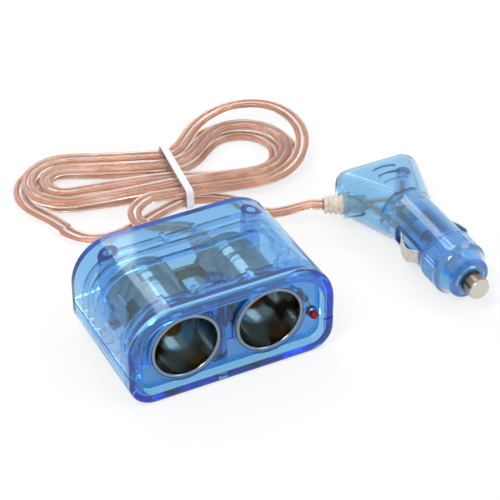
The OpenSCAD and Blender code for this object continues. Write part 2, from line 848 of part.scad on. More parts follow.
hank_tail = cap(hank_path[hank_steps] - hank_path[hank_steps - 1]) * cord_w / 2;
hank_out = hank_path[hank_steps] + hank_tail * 2;
hank_full = concat([hank_in], hank_path, [hank_out]);

// The free cord at both ends, taken on from the hank's straight ends
grommet_end = [grommet_x, inner_rear_y + shell_wall + grommet_l + wire_gap, grommet_z];
to_housing = curved(concat([grommet_end, grommet_end + [0, cord_t, 0]], route_to_housing,
                           [hank_in - hank_lead * 2, hank_in - hank_lead, hank_in]), 2);
relief_dir = [-sin(relief_turn), cos(relief_turn), 0];
relief_at = [plug_x + relief_x, plug_y + relief_s, plug_z];
relief_out = relief_at + relief_dir * (relief_end + wire_gap);
to_plug = curved(concat([hank_out, hank_out + hank_tail, hank_out + hank_tail * 2], route_to_plug,
                        [relief_out + relief_dir * cord_w, relief_out + relief_dir * cord_w / 2,
                         relief_out]), 2);

// Least gap of the hank to itself, taking each section as a flat box
fine_steps = hank_steps * 3;
fine_path = [for (i = [0:fine_steps]) hank_point(hank_start + hank_turns * i / fine_steps)];
fine_apart = round(fine_steps / hank_turns * 0.3);
least_gap = min([for (i = [0:fine_steps - fine_apart], j = [i + fine_apart:fine_steps])
    let (d = fine_path[i] - fine_path[j]) max(norm([d[0], d[1]]) - cord_w, abs(d[2]) - cord_t)]);
echo(hank_least_gap_mm = least_gap);
echo(cord_length_mm = path_length(to_housing) + path_length(hank_full) + path_length(to_plug));

module cord_to_housing() {
    color("#D09070") tube(to_housing, cord_w / 2, cord_t / 2, 8);
}

module cord_hank() {
    color("#D09070") tube(hank_full, cord_w / 2, cord_t / 2, 6);
}

module cord_to_plug() {
    color("#D09070") tube(to_plug, cord_w / 2, cord_t / 2, 8);
}

// Flat band round the waist, with its small head and tail
module cable_tie() {
    low = waist_lift - tie_t - 2 * seat_gap;
    high = waist_lift + cord_t + layer_rise + tie_gap;
    near = -tie_near;
    far = tie_far;
    r = 0.6 * cord_t;
    color("#E6E6EC")
        translate([hank_x, hank_y, 0])
            rotate([0, 0, hank_turn])
                translate([-tie_w / 2, 0, 0])
                    rotate([90, 0, 90])
                        linear_extrude(tie_w)
                            difference() {
                                band(near - tie_t, far + tie_t, low, high + tie_t, r + tie_t);
                                band(near, far, low + tie_t, high, r);
                            }
}

module band(x0, x1, y0, y1, r) {
    polygon(concat([for (a = [0:15:90]) [x1 - r + r * cos(a), y1 - r + r * sin(a)]],
                   [for (a = [90:15:180]) [x0 + r + r * cos(a), y1 - r + r * sin(a)]],
                   [for (a = [180:15:270]) [x0 + r + r * cos(a), y0 + r + r * sin(a)]],
                   [for (a = [270:15:360]) [x1 - r + r * cos(a), y0 + r + r * sin(a)]]));
}

// Places its children in the plug's own frame: axis along Y, s = 0 at the nut's back
module at_plug() {
    translate([plug_x, plug_y, plug_z])
        children();
}

// A flat-faced disc with a rounded edge, one corner of the plug's head
module pebble(x, s, r, half, edge) {
    translate([x, s, 0])
        rotate_extrude($fn = hull_fn)
            polygon(concat([[0, -half]],
                           [for (a = [-90:22.5:0]) [r - edge + edge * cos(a), -half + edge + edge * sin(a)]],
                           [for (a = [0:22.5:90]) [r - edge + edge * cos(a), half - edge + edge * sin(a)]],
                           [[0, half]]));
}

// The head's outer form, drawn in by an inset for its hollow
module head_form(inset) {
    edge = min(head_round, rear_corner_r) - inset;
    hull() {
        pebble(rear_left_x, rear_corner_s, rear_corner_r - inset, head_t / 2 - inset, edge);
        pebble(rear_right_x, rear_corner_s, rear_corner_r - inset, head_t / 2 - inset, edge);
        pebble(0, neck_s + barrel_r * 0.6, barrel_r + neck_lift - inset,
               barrel_r + neck_lift * 0.2 - inset, barrel_r - inset - neck_edge);
    }
}

// Relief axis: children drawn along +Z leave the head along the cord
module on_relief() {
    translate([relief_x, relief_s, 0])
        rotate([0, 0, relief_turn])
            rotate([-90, 0, 0])
                children();
}

module plug_solid() {
    rotate([-90, 0, 0])
        cylinder(r = barrel_r, h = neck_s + barrel_r / 2, $fn = round_fn);
    translate([0, -spigot_l, 0])
        rotate([-90, 0, 0])
            cylinder(r = spigot_r, h = spigot_l + overrun, $fn = round_fn);
    head_form(0);
    on_relief()
        cylinder(r = relief_root_r + relief_boss_wall, h = relief_boss + relief_collar, $fn = small_fn);
}

module plug_space() {
    translate([0, -spigot_l - overrun, 0])
        rotate([-90, 0, 0])
            cylinder(r = fuse_bore_r, h = spigot_l + barrel_front_t + 2 * overrun, $fn = small_fn);
    translate([0, barrel_front_t, 0])
        rotate([-90, 0, 0])
            cylinder(r = barrel_r - barrel_wall, h = bulkhead_s - barrel_front_t, $fn = round_fn);
    head_form(head_wall);
    on_relief() {
        cylinder(r = relief_neck_r + run_gap, h = relief_end, $fn = small_fn);
        translate([0, 0, relief_boss])
            cylinder(r = relief_root_r + run_gap, h = relief_end, $fn = small_fn);
    }
    for (side = [-1, 1])
        translate([side * (contact_reach - leaf_root_x / 2) - leaf_root_x / 2, slot_front_s,
                   -contact_w / 2 - free_gap])
            cube([leaf_root_x, slot_rear_s - slot_front_s, contact_w + 2 * free_gap]);
}

// Wall that the spring terminal rests on, with posts for the screws
module plug_inner_walls() {
    difference() {
        translate([0, bulkhead_s, 0])
            rotate([-90, 0, 0])
                cylinder(r = barrel_r - barrel_wall / 2, h = bulkhead_t, $fn = small_fn);
        translate([0, bulkhead_s - overrun, 0])
            rotate([-90, 0, 0])
                cylinder(r = stem_r + free_gap, h = bulkhead_t + 2 * overrun, $fn = small_fn);
        translate([-barrel_r, bulkhead_s - overrun, -wire_r - free_gap])
            cube([barrel_r - 2 * stem_r, bulkhead_t + 2 * overrun, 2 * (wire_r + free_gap)]);
    }
    for (p = plug_screw_places)
        translate([p[0], p[1], -head_t / 2 + head_wall / 2])
            cylinder(r = plug_post_r, h = head_t - head_wall, $fn = small_fn);
}

module grip_marks() {
    for (i = [0:grip_slots - 1])
        translate([0, rear_corner_s - grip_start - grip_pitch * i - grip_arc_r, head_t / 2 - grip_deep])
            intersection() {
                difference() {
                    cylinder(r = grip_arc_r, h = 2 * overrun, $fn = round_fn);
                    translate([0, 0, -overrun])
                        cylinder(r = grip_arc_r - 2 * grip_deep, h = 4 * overrun, $fn = round_fn);
                }
                translate([-grip_w / 2, 0, -overrun])
                    cube([grip_w, 2 * grip_arc_r, 4 * overrun]);
            }
}

// Both halves of the plug's casing, before they are parted
module plug_casing() {
    difference() {
        union() {
            difference() {
                plug_solid();
                plug_space();
            }
            plug_inner_walls();
        }
        grip_marks();
        for (p = plug_screw_places) {
            translate([p[0], p[1], -head_t / 2 - overrun])
                cylinder(r = plug_screw_head_r + seat_gap, $fn = small_fn,
                         h = plug_screw_sink + plug_screw_head_t + overrun);
            translate([p[0], p[1], -head_t / 2])
                cylinder(r = plug_screw_r + seat_gap, $fn = small_fn,
                         h = plug_screw_sink + plug_screw_head_t + plug_screw_len + free_gap);
        }
    }
}

module plug_upper_shell() {
    color("#5B9CE6")
        at_plug()
            intersection() {
                plug_casing();
                translate([-head_w, -nut_l, seat_gap / 2])
                    cube([2 * head_w, 2 * head_l, head_t]);
            }
}

module plug_lower_shell() {
    color("#3C7FD2")
        at_plug()
            intersection() {
                plug_casing();
                translate([-head_w, -nut_l, -head_t - seat_gap / 2])
                    cube([2 * head_w, 2 * head_l, head_t]);
            }
}

// Knurled nut: ribs round its back part, then a cone and a lip round the pin
function knurl_points() =
    [for (i = [0:knurl_teeth - 1], part = [0, 1, 2, 3])
        let (a = 360 * (i + part / 4) / knurl_teeth, r = nut_d / 2 - seat_gap - (part < 2 ? 0 : knurl_deep))
            [r * cos(a), r * sin(a)]];
knurl_l = nut_l - nose_cone_l - nose_lip_l - 2 * nose_ring_l - knurl_start;

module nose_nut() {
    r = nut_d / 2;
    color("#4A90E0")
        at_plug()
            rotate([90, 0, 0])
                difference() {
                    union() {
                        rotate_extrude($fn = round_fn)
                            polygon([[0, seat_gap], [r - knurl_deep, seat_gap],
                                     [r, knurl_deep], [r, knurl_start],
                                     [r - 2 * knurl_deep, knurl_start],
                                     [r - 2 * knurl_deep, knurl_start + knurl_l],
                                     [r, knurl_start + knurl_l],
                                     [r, knurl_start + knurl_l + nose_ring_l],
                                     [r - nose_ring_l, knurl_start + knurl_l + 2 * nose_ring_l],
                                     [nose_step_r, nut_l - nose_lip_l], [nose_tip_r, nut_l - nose_lip_l],
                                     [nose_tip_r, nut_l - knurl_deep],
                                     [nose_tip_r - knurl_deep, nut_l], [0, nut_l]]);
                        translate([0, 0, knurl_start])
                            linear_extrude(knurl_l)
                                polygon(knurl_points());
                    }
                    translate([0, 0, -overrun])
                        cylinder(r = pin_d / 2 + run_gap, h = nut_l + 2 * overrun, $fn = round_fn);
                    translate([0, 0, -overrun])
                        cylinder(r = spigot_r + run_gap, h = spigot_l + overrun + seat_gap, $fn = round_fn);
                    cylinder(r = flange_r + free_gap, h = nut_l - nose_wall, $fn = round_fn);
                }
}

module plug_tip() {
    r = pin_d / 2;
    out = -nut_l - pin_out;
    color("#CFC7BE")
        at_plug()
            rotate([-90, 0, 0])
                rotate_extrude($fn = round_fn)
                    polygon([[0, out], [r - 0.8 * flange_t, out],
                             [r - 0.3 * flange_t, out + 0.25 * flange_t],
                             [r, out + flange_t], [r, flange_front_s], [flange_r, flange_front_s],
                             [flange_r, fuse_front_s], [0, fuse_front_s]]);
}

module fuse_glass() {
    color("#DCE8EC", 0.5)
        at_plug()
            translate([0, fuse_front_s + fuse_cap_t, 0])
                rotate([-90, 0, 0])
                    difference() {
                        cylinder(r = fuse_d / 2 - fuse_cap_t, h = fuse_l - 2 * fuse_cap_t, $fn = small_fn);
                        translate([0, 0, fuse_cap_l])
                            cylinder(r = fuse_d / 2 - 4 * fuse_cap_t, h = fuse_l - 2 * fuse_cap_l,
                                     $fn = small_fn);
                    }
}

module fuse_caps() {
    color("#C8C9CC")
        at_plug()
            for (s = [fuse_front_s, fuse_rear_s - fuse_cap_l])
                translate([0, s, 0])
                    rotate([-90, 0, 0])
                        difference() {
                            cylinder(r = fuse_d / 2, h = fuse_cap_l, $fn = small_fn);
                            translate([0, 0, s == fuse_front_s ? fuse_cap_t : -fuse_cap_t])
                                cylinder(r = fuse_d / 2 - fuse_cap_t, h = fuse_cap_l, $fn = small_fn);
                        }
}

// Coil spring between the fuse and its terminal, ends drawn towards its seats
spring_steps = spring_turns * 8;
spring_path = [for (i = [0:spring_steps])
    let (a = 360 * i / 8, room = spring_wire / 2 + run_gap)
        [spring_r * cos(a), mix(spring_front_s + room, spring_rear_s - room, i / spring_steps),
         spring_r * sin(a)]];

module fuse_spring() {
    color("#BFC0C4")
        at_plug()
            coil(spring_path, spring_wire / 2, 6);
}

// A round tube about the Y axis, its sections square to the coil
module coil(p, r, sides) {
    n = len(p);
    points = [for (i = [0:n - 1])
        let (t = cap(p[min(n - 1, i + 1)] - p[max(0, i - 1)]), o = cap([p[i][0], 0, p[i][2]]),
             s = cap(o - t * (o * t)), u = cross(s, t))
            for (k = [0:sides - 1]) p[i] + s * r * cos(360 * k / sides) + u * r * sin(360 * k / sides)];
    walls = [for (i = [0:n - 2], k = [0:sides - 1])
                let (c = i * sides + k, d = i * sides + (k + 1) % sides)
                    each [[c, c + sides, d], [d, c + sides, d + sides]]];
    first_cap = [for (k = [1:sides - 2]) [0, k, k + 1]];
    last_cap = [for (k = [1:sides - 2]) [(n - 1) * sides, (n - 1) * sides + k + 1, (n - 1) * sides + k]];
    polyhedron(points, concat(walls, first_cap, last_cap), convexity = 8);
}

module spring_terminal() {
    color("#C9A25A")
        at_plug()
            translate([0, spring_rear_s, 0])
                rotate([-90, 0, 0])
                    rotate_extrude($fn = small_fn)
                        polygon([[0, 0], [terminal_r, 0], [terminal_r, terminal_t], [stem_r, terminal_t],
                                 [stem_r, terminal_t + stem_l], [0, terminal_t + stem_l]]);
}

// Sprung leaf, seen from above: outer edge points run from the root to the nose
function leaf_line() =
    let (r = contact_reach, x = leaf_root_x, b = barrel_r)
        [[x, leaf_root_s + leaf_root_l], [x, leaf_root_s], [x, slot_rear_s - leaf_t],
         [mix(x, b, 0.55), slot_rear_s - 3.2 * leaf_t],
         [mix(b, r, 0.25), mix(slot_front_s, slot_rear_s, 0.68)],
         [mix(b, r, 0.75), mix(slot_front_s, slot_rear_s, 0.48)],
         [r, mix(slot_front_s, slot_rear_s, 0.3)],
         [r - leaf_t / 4, mix(slot_front_s, slot_rear_s, 0.2)],
         [mix(b, r, 0.5), mix(slot_front_s, slot_rear_s, 0.1)], [b - leaf_t, slot_front_s + leaf_t]];

module side_contact(side) {
    line = curved([for (p = leaf_line()) [p[0], p[1], 0]], 2);
    n = len(line);
    inner = [for (i = [0:n - 1])
        let (t = cap(line[min(n - 1, i + 1)] - line[max(0, i - 1)]))
            line[i] + [t[1], -t[0], 0] * leaf_t];
    color("#C9C5BA")
        at_plug()
            translate([0, 0, -contact_w / 2])
                linear_extrude(contact_w)
                    polygon(concat([for (p = line) [side * p[0], p[1]]],
                                   [for (i = [n - 1:-1:0]) [side * inner[i][0], inner[i][1]]]));
}

module left_side_contact() {
    side_contact(-1);
}

module right_side_contact() {
    side_contact(1);
}

// Half ring under the fuse that joins the two side contacts
module contact_bridge() {
    color("#C9C5BA")
        at_plug()
            translate([0, bridge_s, 0])
                rotate([-90, 0, 0])
                    rotate_extrude(angle = 180, $fn = round_fn)
                        translate([bridge_r, 0])
                            square([bridge_t, bridge_w]);
}

// Leads in the plug's head, from the relief's inner face
module plug_live_lead() {
    side = [relief_dir[1], -relief_dir[0], 0];
    start = [relief_x, relief_s, 0] + side * wire_apart - relief_dir * wire_gap;
    end = [0, spring_rear_s + terminal_t + stem_l + wire_gap, 0];
    color("#D09070")
        at_plug()
            tube(curved([start, start - relief_dir * wire_r, start - relief_dir * wire_r * 2,
                         [mix(start[0], end[0], 0.65), mix(start[1], end[1], 0.35), wire_r],
                         end + [0, wire_r * 2, 0], end + [0, wire_r, 0], end], 2),
                 wire_r, wire_r, wire_sides);
}

module plug_ground_lead() {
    side = [relief_dir[1], -relief_dir[0], 0];
    start = [relief_x, relief_s, 0] - side * wire_apart - relief_dir * wire_gap;
    end = [-bridge_r - bridge_t / 2, bridge_s + bridge_w + wire_gap, 0];
    color("#D09070")
        at_plug()
            tube(curved([start, start - relief_dir * wire_r, start - relief_dir * wire_r * 2,
                         [mix(start[0], end[0], 0.75), mix(start[1], end[1], 0.45), 0],
                         end + [0, wire_r * 2, 0], end + [0, wire_r, 0], end], 2),
                 wire_r, wire_r, wire_sides);
}

module plug_relief() {
    color("#DCCFC2")
        at_plug()
            on_relief()
                rotate_extrude($fn = small_fn)
                    polygon(concat([[0, 0], [relief_neck_r, 0], [relief_neck_r, relief_boss + seat_gap]],
                                   ribbed(relief_root_r, relief_tip_r, relief_boss + seat_gap, relief_end),
                                   [[0, relief_end]]));
}

module plug_screw() {
    color("#9A9CA0")
        at_plug()
            for (p = plug_screw_places)
                translate([p[0], p[1], -head_t / 2 + plug_screw_sink])
                    difference() {
                        union() {
                            cylinder(r = plug_screw_head_r, h = plug_screw_head_t, $fn = small_fn);
                            translate([0, 0, plug_screw_head_t])
                                cylinder(r = plug_screw_r, h = plug_screw_len, $fn = small_fn);
                        }
                        cross_recess(screw_cross_l * plug_screw_head_r / screw_head_r, screw_cross_w,
                                     screw_cross_deep);
                    }
}

upper_shell();
lower_shell();
front_panel();
left_socket();
right_socket();
left_socket_base();
right_socket_base();
left_centre_contact();
right_centre_contact();
positive_strap();
ground_strap();
indicator_lamp();
lamp_resistor();
lamp_leads();
live_lead();
ground_lead();
housing_screws();
cord_grommet();
cord_to_housing();
cord_hank();
cord_to_plug();
cable_tie();
plug_upper_shell();
plug_lower_shell();
nose_nut();
plug_tip();
fuse_glass();
fuse_caps();
fuse_spring();
spring_terminal();
left_side_contact();
right_side_contact();
contact_bridge();
plug_live_lead();
plug_ground_lead();
plug_relief();
plug_screw();
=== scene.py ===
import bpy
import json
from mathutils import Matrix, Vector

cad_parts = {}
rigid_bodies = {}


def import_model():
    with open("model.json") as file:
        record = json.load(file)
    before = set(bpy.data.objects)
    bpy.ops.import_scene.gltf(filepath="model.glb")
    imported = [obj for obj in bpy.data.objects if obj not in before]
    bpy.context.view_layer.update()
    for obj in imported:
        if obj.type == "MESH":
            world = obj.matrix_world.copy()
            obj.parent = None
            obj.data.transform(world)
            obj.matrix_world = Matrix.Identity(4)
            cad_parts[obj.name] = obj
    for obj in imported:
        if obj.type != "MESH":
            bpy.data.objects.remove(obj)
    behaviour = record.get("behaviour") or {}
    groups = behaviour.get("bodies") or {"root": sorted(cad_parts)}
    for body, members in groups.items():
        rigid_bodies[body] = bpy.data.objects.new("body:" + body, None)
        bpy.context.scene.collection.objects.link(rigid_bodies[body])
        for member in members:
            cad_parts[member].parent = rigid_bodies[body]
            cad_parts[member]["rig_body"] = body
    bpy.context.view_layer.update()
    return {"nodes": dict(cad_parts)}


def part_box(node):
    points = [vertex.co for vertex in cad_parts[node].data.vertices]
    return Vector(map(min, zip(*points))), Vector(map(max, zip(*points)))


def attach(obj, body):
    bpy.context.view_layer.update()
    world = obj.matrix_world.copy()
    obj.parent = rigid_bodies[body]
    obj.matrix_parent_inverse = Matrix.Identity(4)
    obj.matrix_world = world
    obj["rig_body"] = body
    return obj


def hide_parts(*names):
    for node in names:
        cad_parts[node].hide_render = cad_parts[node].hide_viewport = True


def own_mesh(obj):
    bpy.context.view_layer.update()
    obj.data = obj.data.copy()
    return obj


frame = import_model()

import json
import math
from functools import cache
from types import SimpleNamespace
from typing import NamedTuple

import bmesh
import bpy
from bpy.props import FloatProperty, FloatVectorProperty, IntProperty, PointerProperty
from bpy.types import Operator, Panel, PropertyGroup
from mathutils import Matrix, Vector

bl_info = {
    "name": "Car socket splitter",
    "version": (1, 0, 0),
    "blender": (4, 5, 0),
    "location": "3D View > Sidebar > Splitter",
    "description": "Dresses the solid model of a twin accessory socket with its lead and plug",
    "category": "Object",
}

MM = 0.001

# Pieces made from the solid model
WELD = 0.002 * MM  # points that lie closer than this are one point
PIN_OUT = 6 * MM  # how far the pin stands out of the nut

# Stage, in metres from the middle of the housing's underside
TABLE_HALF = 4.0
TABLE_LEVEL = -0.0002  # a hair under the object, so that their faces don't coincide
PAPER_GLOW = 0.72  # share of plain white in the paper, as the camera sees it
ROOM_LIGHT = 0.74  # strength of the white room as a light
ROOM_SEEN = 1.0  # strength of the white room as the camera, glass and metal see it
LAMPS_AIM = (0.03, 0.03, 0.0)
LAMPS = (  # name, place, side in metres, power in watts
    ("key_softbox", (-0.55, -0.35, 0.95), 0.4, 5.0),
    ("fill_softbox", (0.7, -0.5, 0.7), 0.5, 2.2),
    ("rear_softbox", (0.1, 0.9, 0.8), 0.5, 2.6),
)
CAMERA_AT = (-0.2166, -0.4616, 0.4193)
CAMERA_RIGHT = (0.8921, -0.4518, 0.0)
CAMERA_BACK = (-0.3607, -0.7123, 0.6021)
SENSOR_WIDTH = 36  # millimetres

# Cord, in millimetres, with its line as the solid model lays it
CORD_T = 2.6  # thickness of the solid model's cord, and the step where two stretches join
REST = CORD_T / 2  # height of the cord's middle where it lies on the table
HANK = SimpleNamespace(
    x=28.5, y=82.0, turn=math.radians(-7),  # middle and lie
    step=6.25,  # from one strand to the next
    waist=1.5,  # from the axis to the innermost strands' middles
    left=(38.2, 8.0, 5.8), right=(28.2, 7.2, 11.0),  # lobes: out, off the axis, radius
    far=18.5, near=23.0,  # radii of the bends on both sides of the waist
    start=-0.25, turns=3.81, middle=1.75,  # in turns; at the middle one it changes layers
    rise=3.4, climb=0.22,  # height of the upper layer, and the turns that it drops in
    lift=1.0, reach=15.0,  # hump at the waist, and its half length
    loose=6.0, loose_turns=(-0.12, 0.22),  # last loop, which is free and stands up
)
TO_HOUSING = [(14, 35.12, 12.4), (14, 37.72, 12.4), (13.6, 41.6, 11.6), (11.4, 47, 9),
              (7.4, 53, 6.4), (5, 58.4, 4.95), (4.8, 63.8, 4.85), (7.4, 68.4, 5.2)]
TO_PLUG = [(-18.2, 71, 1.45), (-14.6, 64.8, 1.45), (-8, 61.4, 1.45), (0, 61.6, 1.45),
           (8, 64, 1.45), (17, 66.8, 1.7), (26.5, 68.2, 2.3), (35, 66.4, 1.6),
           (41.4, 61.6, 1.45), (45.2, 54.8, 1.55), (47.8, 47.8, 2.8), (52, 41.8, 6.2)]
PLUG_AT = Vector((86, -9, 9.9))  # middle of the nut's back face
RELIEF_ROOT = Vector((-9.5, 37, 0))  # start of the strain relief, from there
RELIEF_TURN = math.radians(63.4)
RELIEF_WAY = Vector((-math.sin(RELIEF_TURN), math.cos(RELIEF_TURN), 0))
RELIEF_L = 14.72  # the relief's length, and a hair's gap to the cord's end
RELIEF_END = PLUG_AT + RELIEF_ROOT + RELIEF_L * RELIEF_WAY
COARSE_RINGS = 24  # sections a turn from which the hank's ends take their directions
STRETCH_STEPS = 8  # points from one given point to the next
SAME_POINT = 0.05  # points that lie closer than this are one point of the line
SMOOTHINGS = 3
POINT_GAP = 1.6
ROUND_STEPS = 12  # sides of a core, and of each half of the sleeve
WEB_MOST = 0.98  # the web's thickness stays below this share of the sleeve's
STRANDS_ROUND = 13  # strands that show round a core: about 0.28 mm each
STRAND_LAY = 22  # length in which a strand goes once round


# Colour -----------------------------------------------------------------------

def linear(code):
    """An sRGB hex colour as linear red, green and blue."""
    parts = [int(code[i:i + 2], 16) / 255 for i in (1, 3, 5)]
    return tuple(v / 12.92 if v <= 0.04045 else ((v + 0.055) / 1.055) ** 2.4 for v in parts)


def rgba(colour):
    """An opaque colour, from a hex code or from linear red, green and blue."""
    return (*(linear(colour) if isinstance(colour, str) else colour[:3]), 1.0)


# Settings ---------------------------------------------------------------------

def colour_choice(name, description, code):
    """A colour that a user may change."""
    return FloatVectorProperty(name=name, description=description, subtype="COLOR", size=3,
                               min=0, max=1, default=linear(code))


class SplitterSizes(PropertyGroup):
    """Sizes that a user may want to change."""
    cord_width: FloatProperty(
        name="Cord width", description="Width of the twin cord across both cores",
        default=5.2 * MM, unit="LENGTH", precision=4)
    cord_height: FloatProperty(
        name="Cord thickness", description="Thickness of each core's sleeve",
        default=CORD_T * MM, unit="LENGTH", precision=4)
    core_radius: FloatProperty(
        name="Core radius", description="Radius of each bunch of copper strands",
        default=0.57 * MM, unit="LENGTH", precision=5)
    web_height: FloatProperty(
        name="Web thickness", description="Thickness of the web between the two sleeves",
        default=1.5 * MM, unit="LENGTH", precision=4)
    rings_per_turn: IntProperty(
        name="Rings a turn", description="Sections of the cord in each turn of the hank",
        default=110, min=24, max=240)
    edge_angle: FloatProperty(
        name="Edge angle", description="Faces that meet flatter than this look like one surface",
        default=math.radians(33), subtype="ANGLE")
    camera_lens: FloatProperty(
        name="Lens", description="Focal length of the camera on a 36 mm sensor",
        default=145.8, min=20, max=300, unit="CAMERA")


class SplitterColours(PropertyGroup):
    """Colours that a user may want to change."""
    housing: colour_choice("Housing", "Blue that one wall of the housing lets through", "#D3E9FA")
    plug: colour_choice("Plug", "Blue that one wall of the plug lets through", "#CDE9F9")
    depth: colour_choice("Depth", "Blue left after a long way through the plastic", "#2CD6F9")
    copper: colour_choice("Copper", "Bare copper strands", "#D68E66")
    nickel: colour_choice("Nickel", "Nickel plate on the end of the pin", "#CFC9BF")
    relief: colour_choice("Strain relief", "Soft beige vinyl", "#EFE6DC")
    tie: colour_choice("Tie", "Natural white nylon", "#E9E9F0")
    lamp: colour_choice("Lamp", "Red epoxy of the lamp", "#96020C")


def sizes():
    return bpy.context.scene.splitter_sizes


def colours():
    return bpy.context.scene.splitter_colours


# Finishes ---------------------------------------------------------------------

def add(tree, kind, inputs=None, outputs=None, stops=(), **settings):
    """Adds one node. An input is a value or the output that feeds it, an output goes to
    the input that it feeds, and stops are the (place, colour) pairs of a colour ramp."""
    node = tree.nodes.new(kind)
    for name, value in settings.items():
        setattr(node, name, value)
    for name, value in (inputs or {}).items():
        if isinstance(value, bpy.types.NodeSocket):
            tree.links.new(value, node.inputs[name])
        else:
            node.inputs[name].default_value = value
    for name, target in (outputs or {}).items():
        tree.links.new(node.outputs[name], target)
    if stops:
        elements = node.color_ramp.elements
        elements[0].position, elements[0].color = stops[0][0], rgba(stops[0][1])
        elements[1].position, elements[1].color = stops[-1][0], rgba(stops[-1][1])
        for place, colour in stops[1:-1]:
            elements.new(place).color = rgba(colour)
    return node


def surface(name, colour=None, **values):
    """A material with one Principled shader. Returns the material, its tree, the shader
    and the object's coordinates in metres."""
    finish = bpy.data.materials.new(name)
    finish.use_nodes = True
    tree = finish.node_tree
    shader = tree.nodes["Principled BSDF"]
    if colour is not None:
        shader.inputs["Base Color"].default_value = rgba(colour)
    for key, value in values.items():
        shader.inputs[key.replace("_", " ")].default_value = value
    return finish, tree, shader, add(tree, "ShaderNodeTexCoord").outputs["Object"]


def per(size_mm):
    """Scale of a texture whose spots are about size_mm across."""
    return 1 / (size_mm * MM)


def vary(tree, shader, texture, tones=(), rough=(), relief=()):
    """Lets a texture vary a finish: its tones, its roughness from low to high, and its
    relief, given as a depth in millimetres and a strength."""
    if tones:
        add(tree, "ShaderNodeValToRGB", {"Fac": texture},
            {"Color": shader.inputs["Base Color"]}, tones)
    if rough:
        add(tree, "ShaderNodeMapRange",
            {"Value": texture, "To Min": rough[0], "To Max": rough[1]},
            {"Result": shader.inputs["Roughness"]})
    if relief:
        add(tree, "ShaderNodeBump",
            {"Height": texture, "Distance": relief[0] * MM, "Strength": relief[1]},
            {"Normal": shader.inputs["Normal"]})


def along_y(tree, spot, start, end):
    """How far a point lies from start to end along Y, from 0 to 1."""
    split = add(tree, "ShaderNodeSeparateXYZ", {"Vector": spot})
    return add(tree, "ShaderNodeMapRange", {"Value": split.outputs["Y"], "From Min": start,
                                            "From Max": end}).outputs["Result"]


def middle(node):
    """Middle of a node's box."""
    low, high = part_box(node)
    return (low + high) / 2


def polycarbonate(name, wall, density, haze, gloss=0.0, clear=0.98):
    """Injection-moulded transparent blue polycarbonate: pale through one wall, and deep
    blue along an edge. Its IOR is below the real 1.58, so that the walls mirror less and
    show what is inside."""
    finish, tree, shader, spot = surface(name, wall, Transmission_Weight=clear, IOR=1.42,
                                         Coat_Weight=gloss, Coat_Roughness=0.03, Coat_IOR=1.5)
    wave = add(tree, "ShaderNodeTexNoise", {"Vector": spot, "Scale": per(6.0), "Detail": 2.0})
    vary(tree, shader, wave.outputs["Fac"], rough=(haze, haze + 0.06), relief=(0.02, 0.5))
    add(tree, "ShaderNodeVolumeAbsorption",
        {"Color": rgba(colours().depth), "Density": density},
        {"Volume": tree.nodes["Material Output"].inputs["Volume"]})
    return finish


def housing_plastic():
    """The housing's blue: glossy and clear, so that the sockets show through it."""
    return polycarbonate("polycarbonate_blue_moulded", colours().housing, 190.0, 0.02)


def panel_plastic():
    """The front panel's blue: the shells' plastic made a shade deeper, as painted shade for the
    dark inside of the housing that the panel is seen against.
    """
    # painted shade: a deeper, denser blue than the shells' same plastic
    return polycarbonate("polycarbonate_blue_panel", "#A8C8EE", 230.0, 0.02)


def base_plastic():
    """The pale, milky disc that closes each socket tube."""
    return polycarbonate("polycarbonate_blue_disc", "#E6EEF4", 50.0, 0.12, clear=0.78)


def plug_plastic():
    """The plug's blue: a little frosted inside, with a polished skin, and a deeper tint
    round the barrel than in the head."""
    finish = polycarbonate("polycarbonate_blue_plug", colours().plug, 150.0, 0.12,
                           gloss=0.6, clear=0.96)
    tree = finish.node_tree
    start = middle("plug_relief")
    run = middle("plug_tip") - start
    way = run.normalized()
    spot = add(tree, "ShaderNodeTexCoord").outputs["Object"]
    walked = add(tree, "ShaderNodeVectorMath", {0: spot, 1: tuple(way)}, operation="DOT_PRODUCT")
    zero = start.dot(way)
    part = add(tree, "ShaderNodeMapRange", {"Value": walked.outputs["Value"], "From Min": zero,
                                            "From Max": zero + run.length})
    vary(tree, tree.nodes["Principled BSDF"], part.outputs["Result"],
         tones=[(0.36, colours().plug), (0.48, "#6ABCF4")])
    return finish


def nut_plastic():
    """The nose nut's blue: denser, so that its knurl catches the light."""
    return polycarbonate("polycarbonate_blue_nut", "#80CBF9", 90.0, 0.05, gloss=1.0, clear=0.82)


def drawn_nickel():
    """Nickel plate on drawn brass, with fine die lines along it. Its tones along the tube are
    painted reflection: a darker cool grey on the rolled lip and a dimmer warm grey down the bore
    stand in for the dark room that the bright metal mirrors."""
    finish, tree, shader, spot = surface("nickel_plate_drawn", Metallic=1.0)
    low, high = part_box("left_socket")
    # painted reflection: darker lip and bore tones in place of the mirrored dark room
    vary(tree, shader, along_y(tree, spot, low.y, high.y),
         tones=[(0.04, "#828D98"), (0.09, "#A9A097"), (1.0, "#A19587")])
    drawn = add(tree, "ShaderNodeMapping", {"Vector": spot, "Scale": (1.0, 0.03, 1.0)})
    lines = add(tree, "ShaderNodeTexNoise", {"Vector": drawn.outputs["Vector"],
                                             "Scale": per(0.35), "Detail": 4.0,
                                             "Roughness": 0.6})
    vary(tree, shader, lines.outputs["Fac"], rough=(0.06, 0.16), relief=(0.008, 0.4))
    return finish


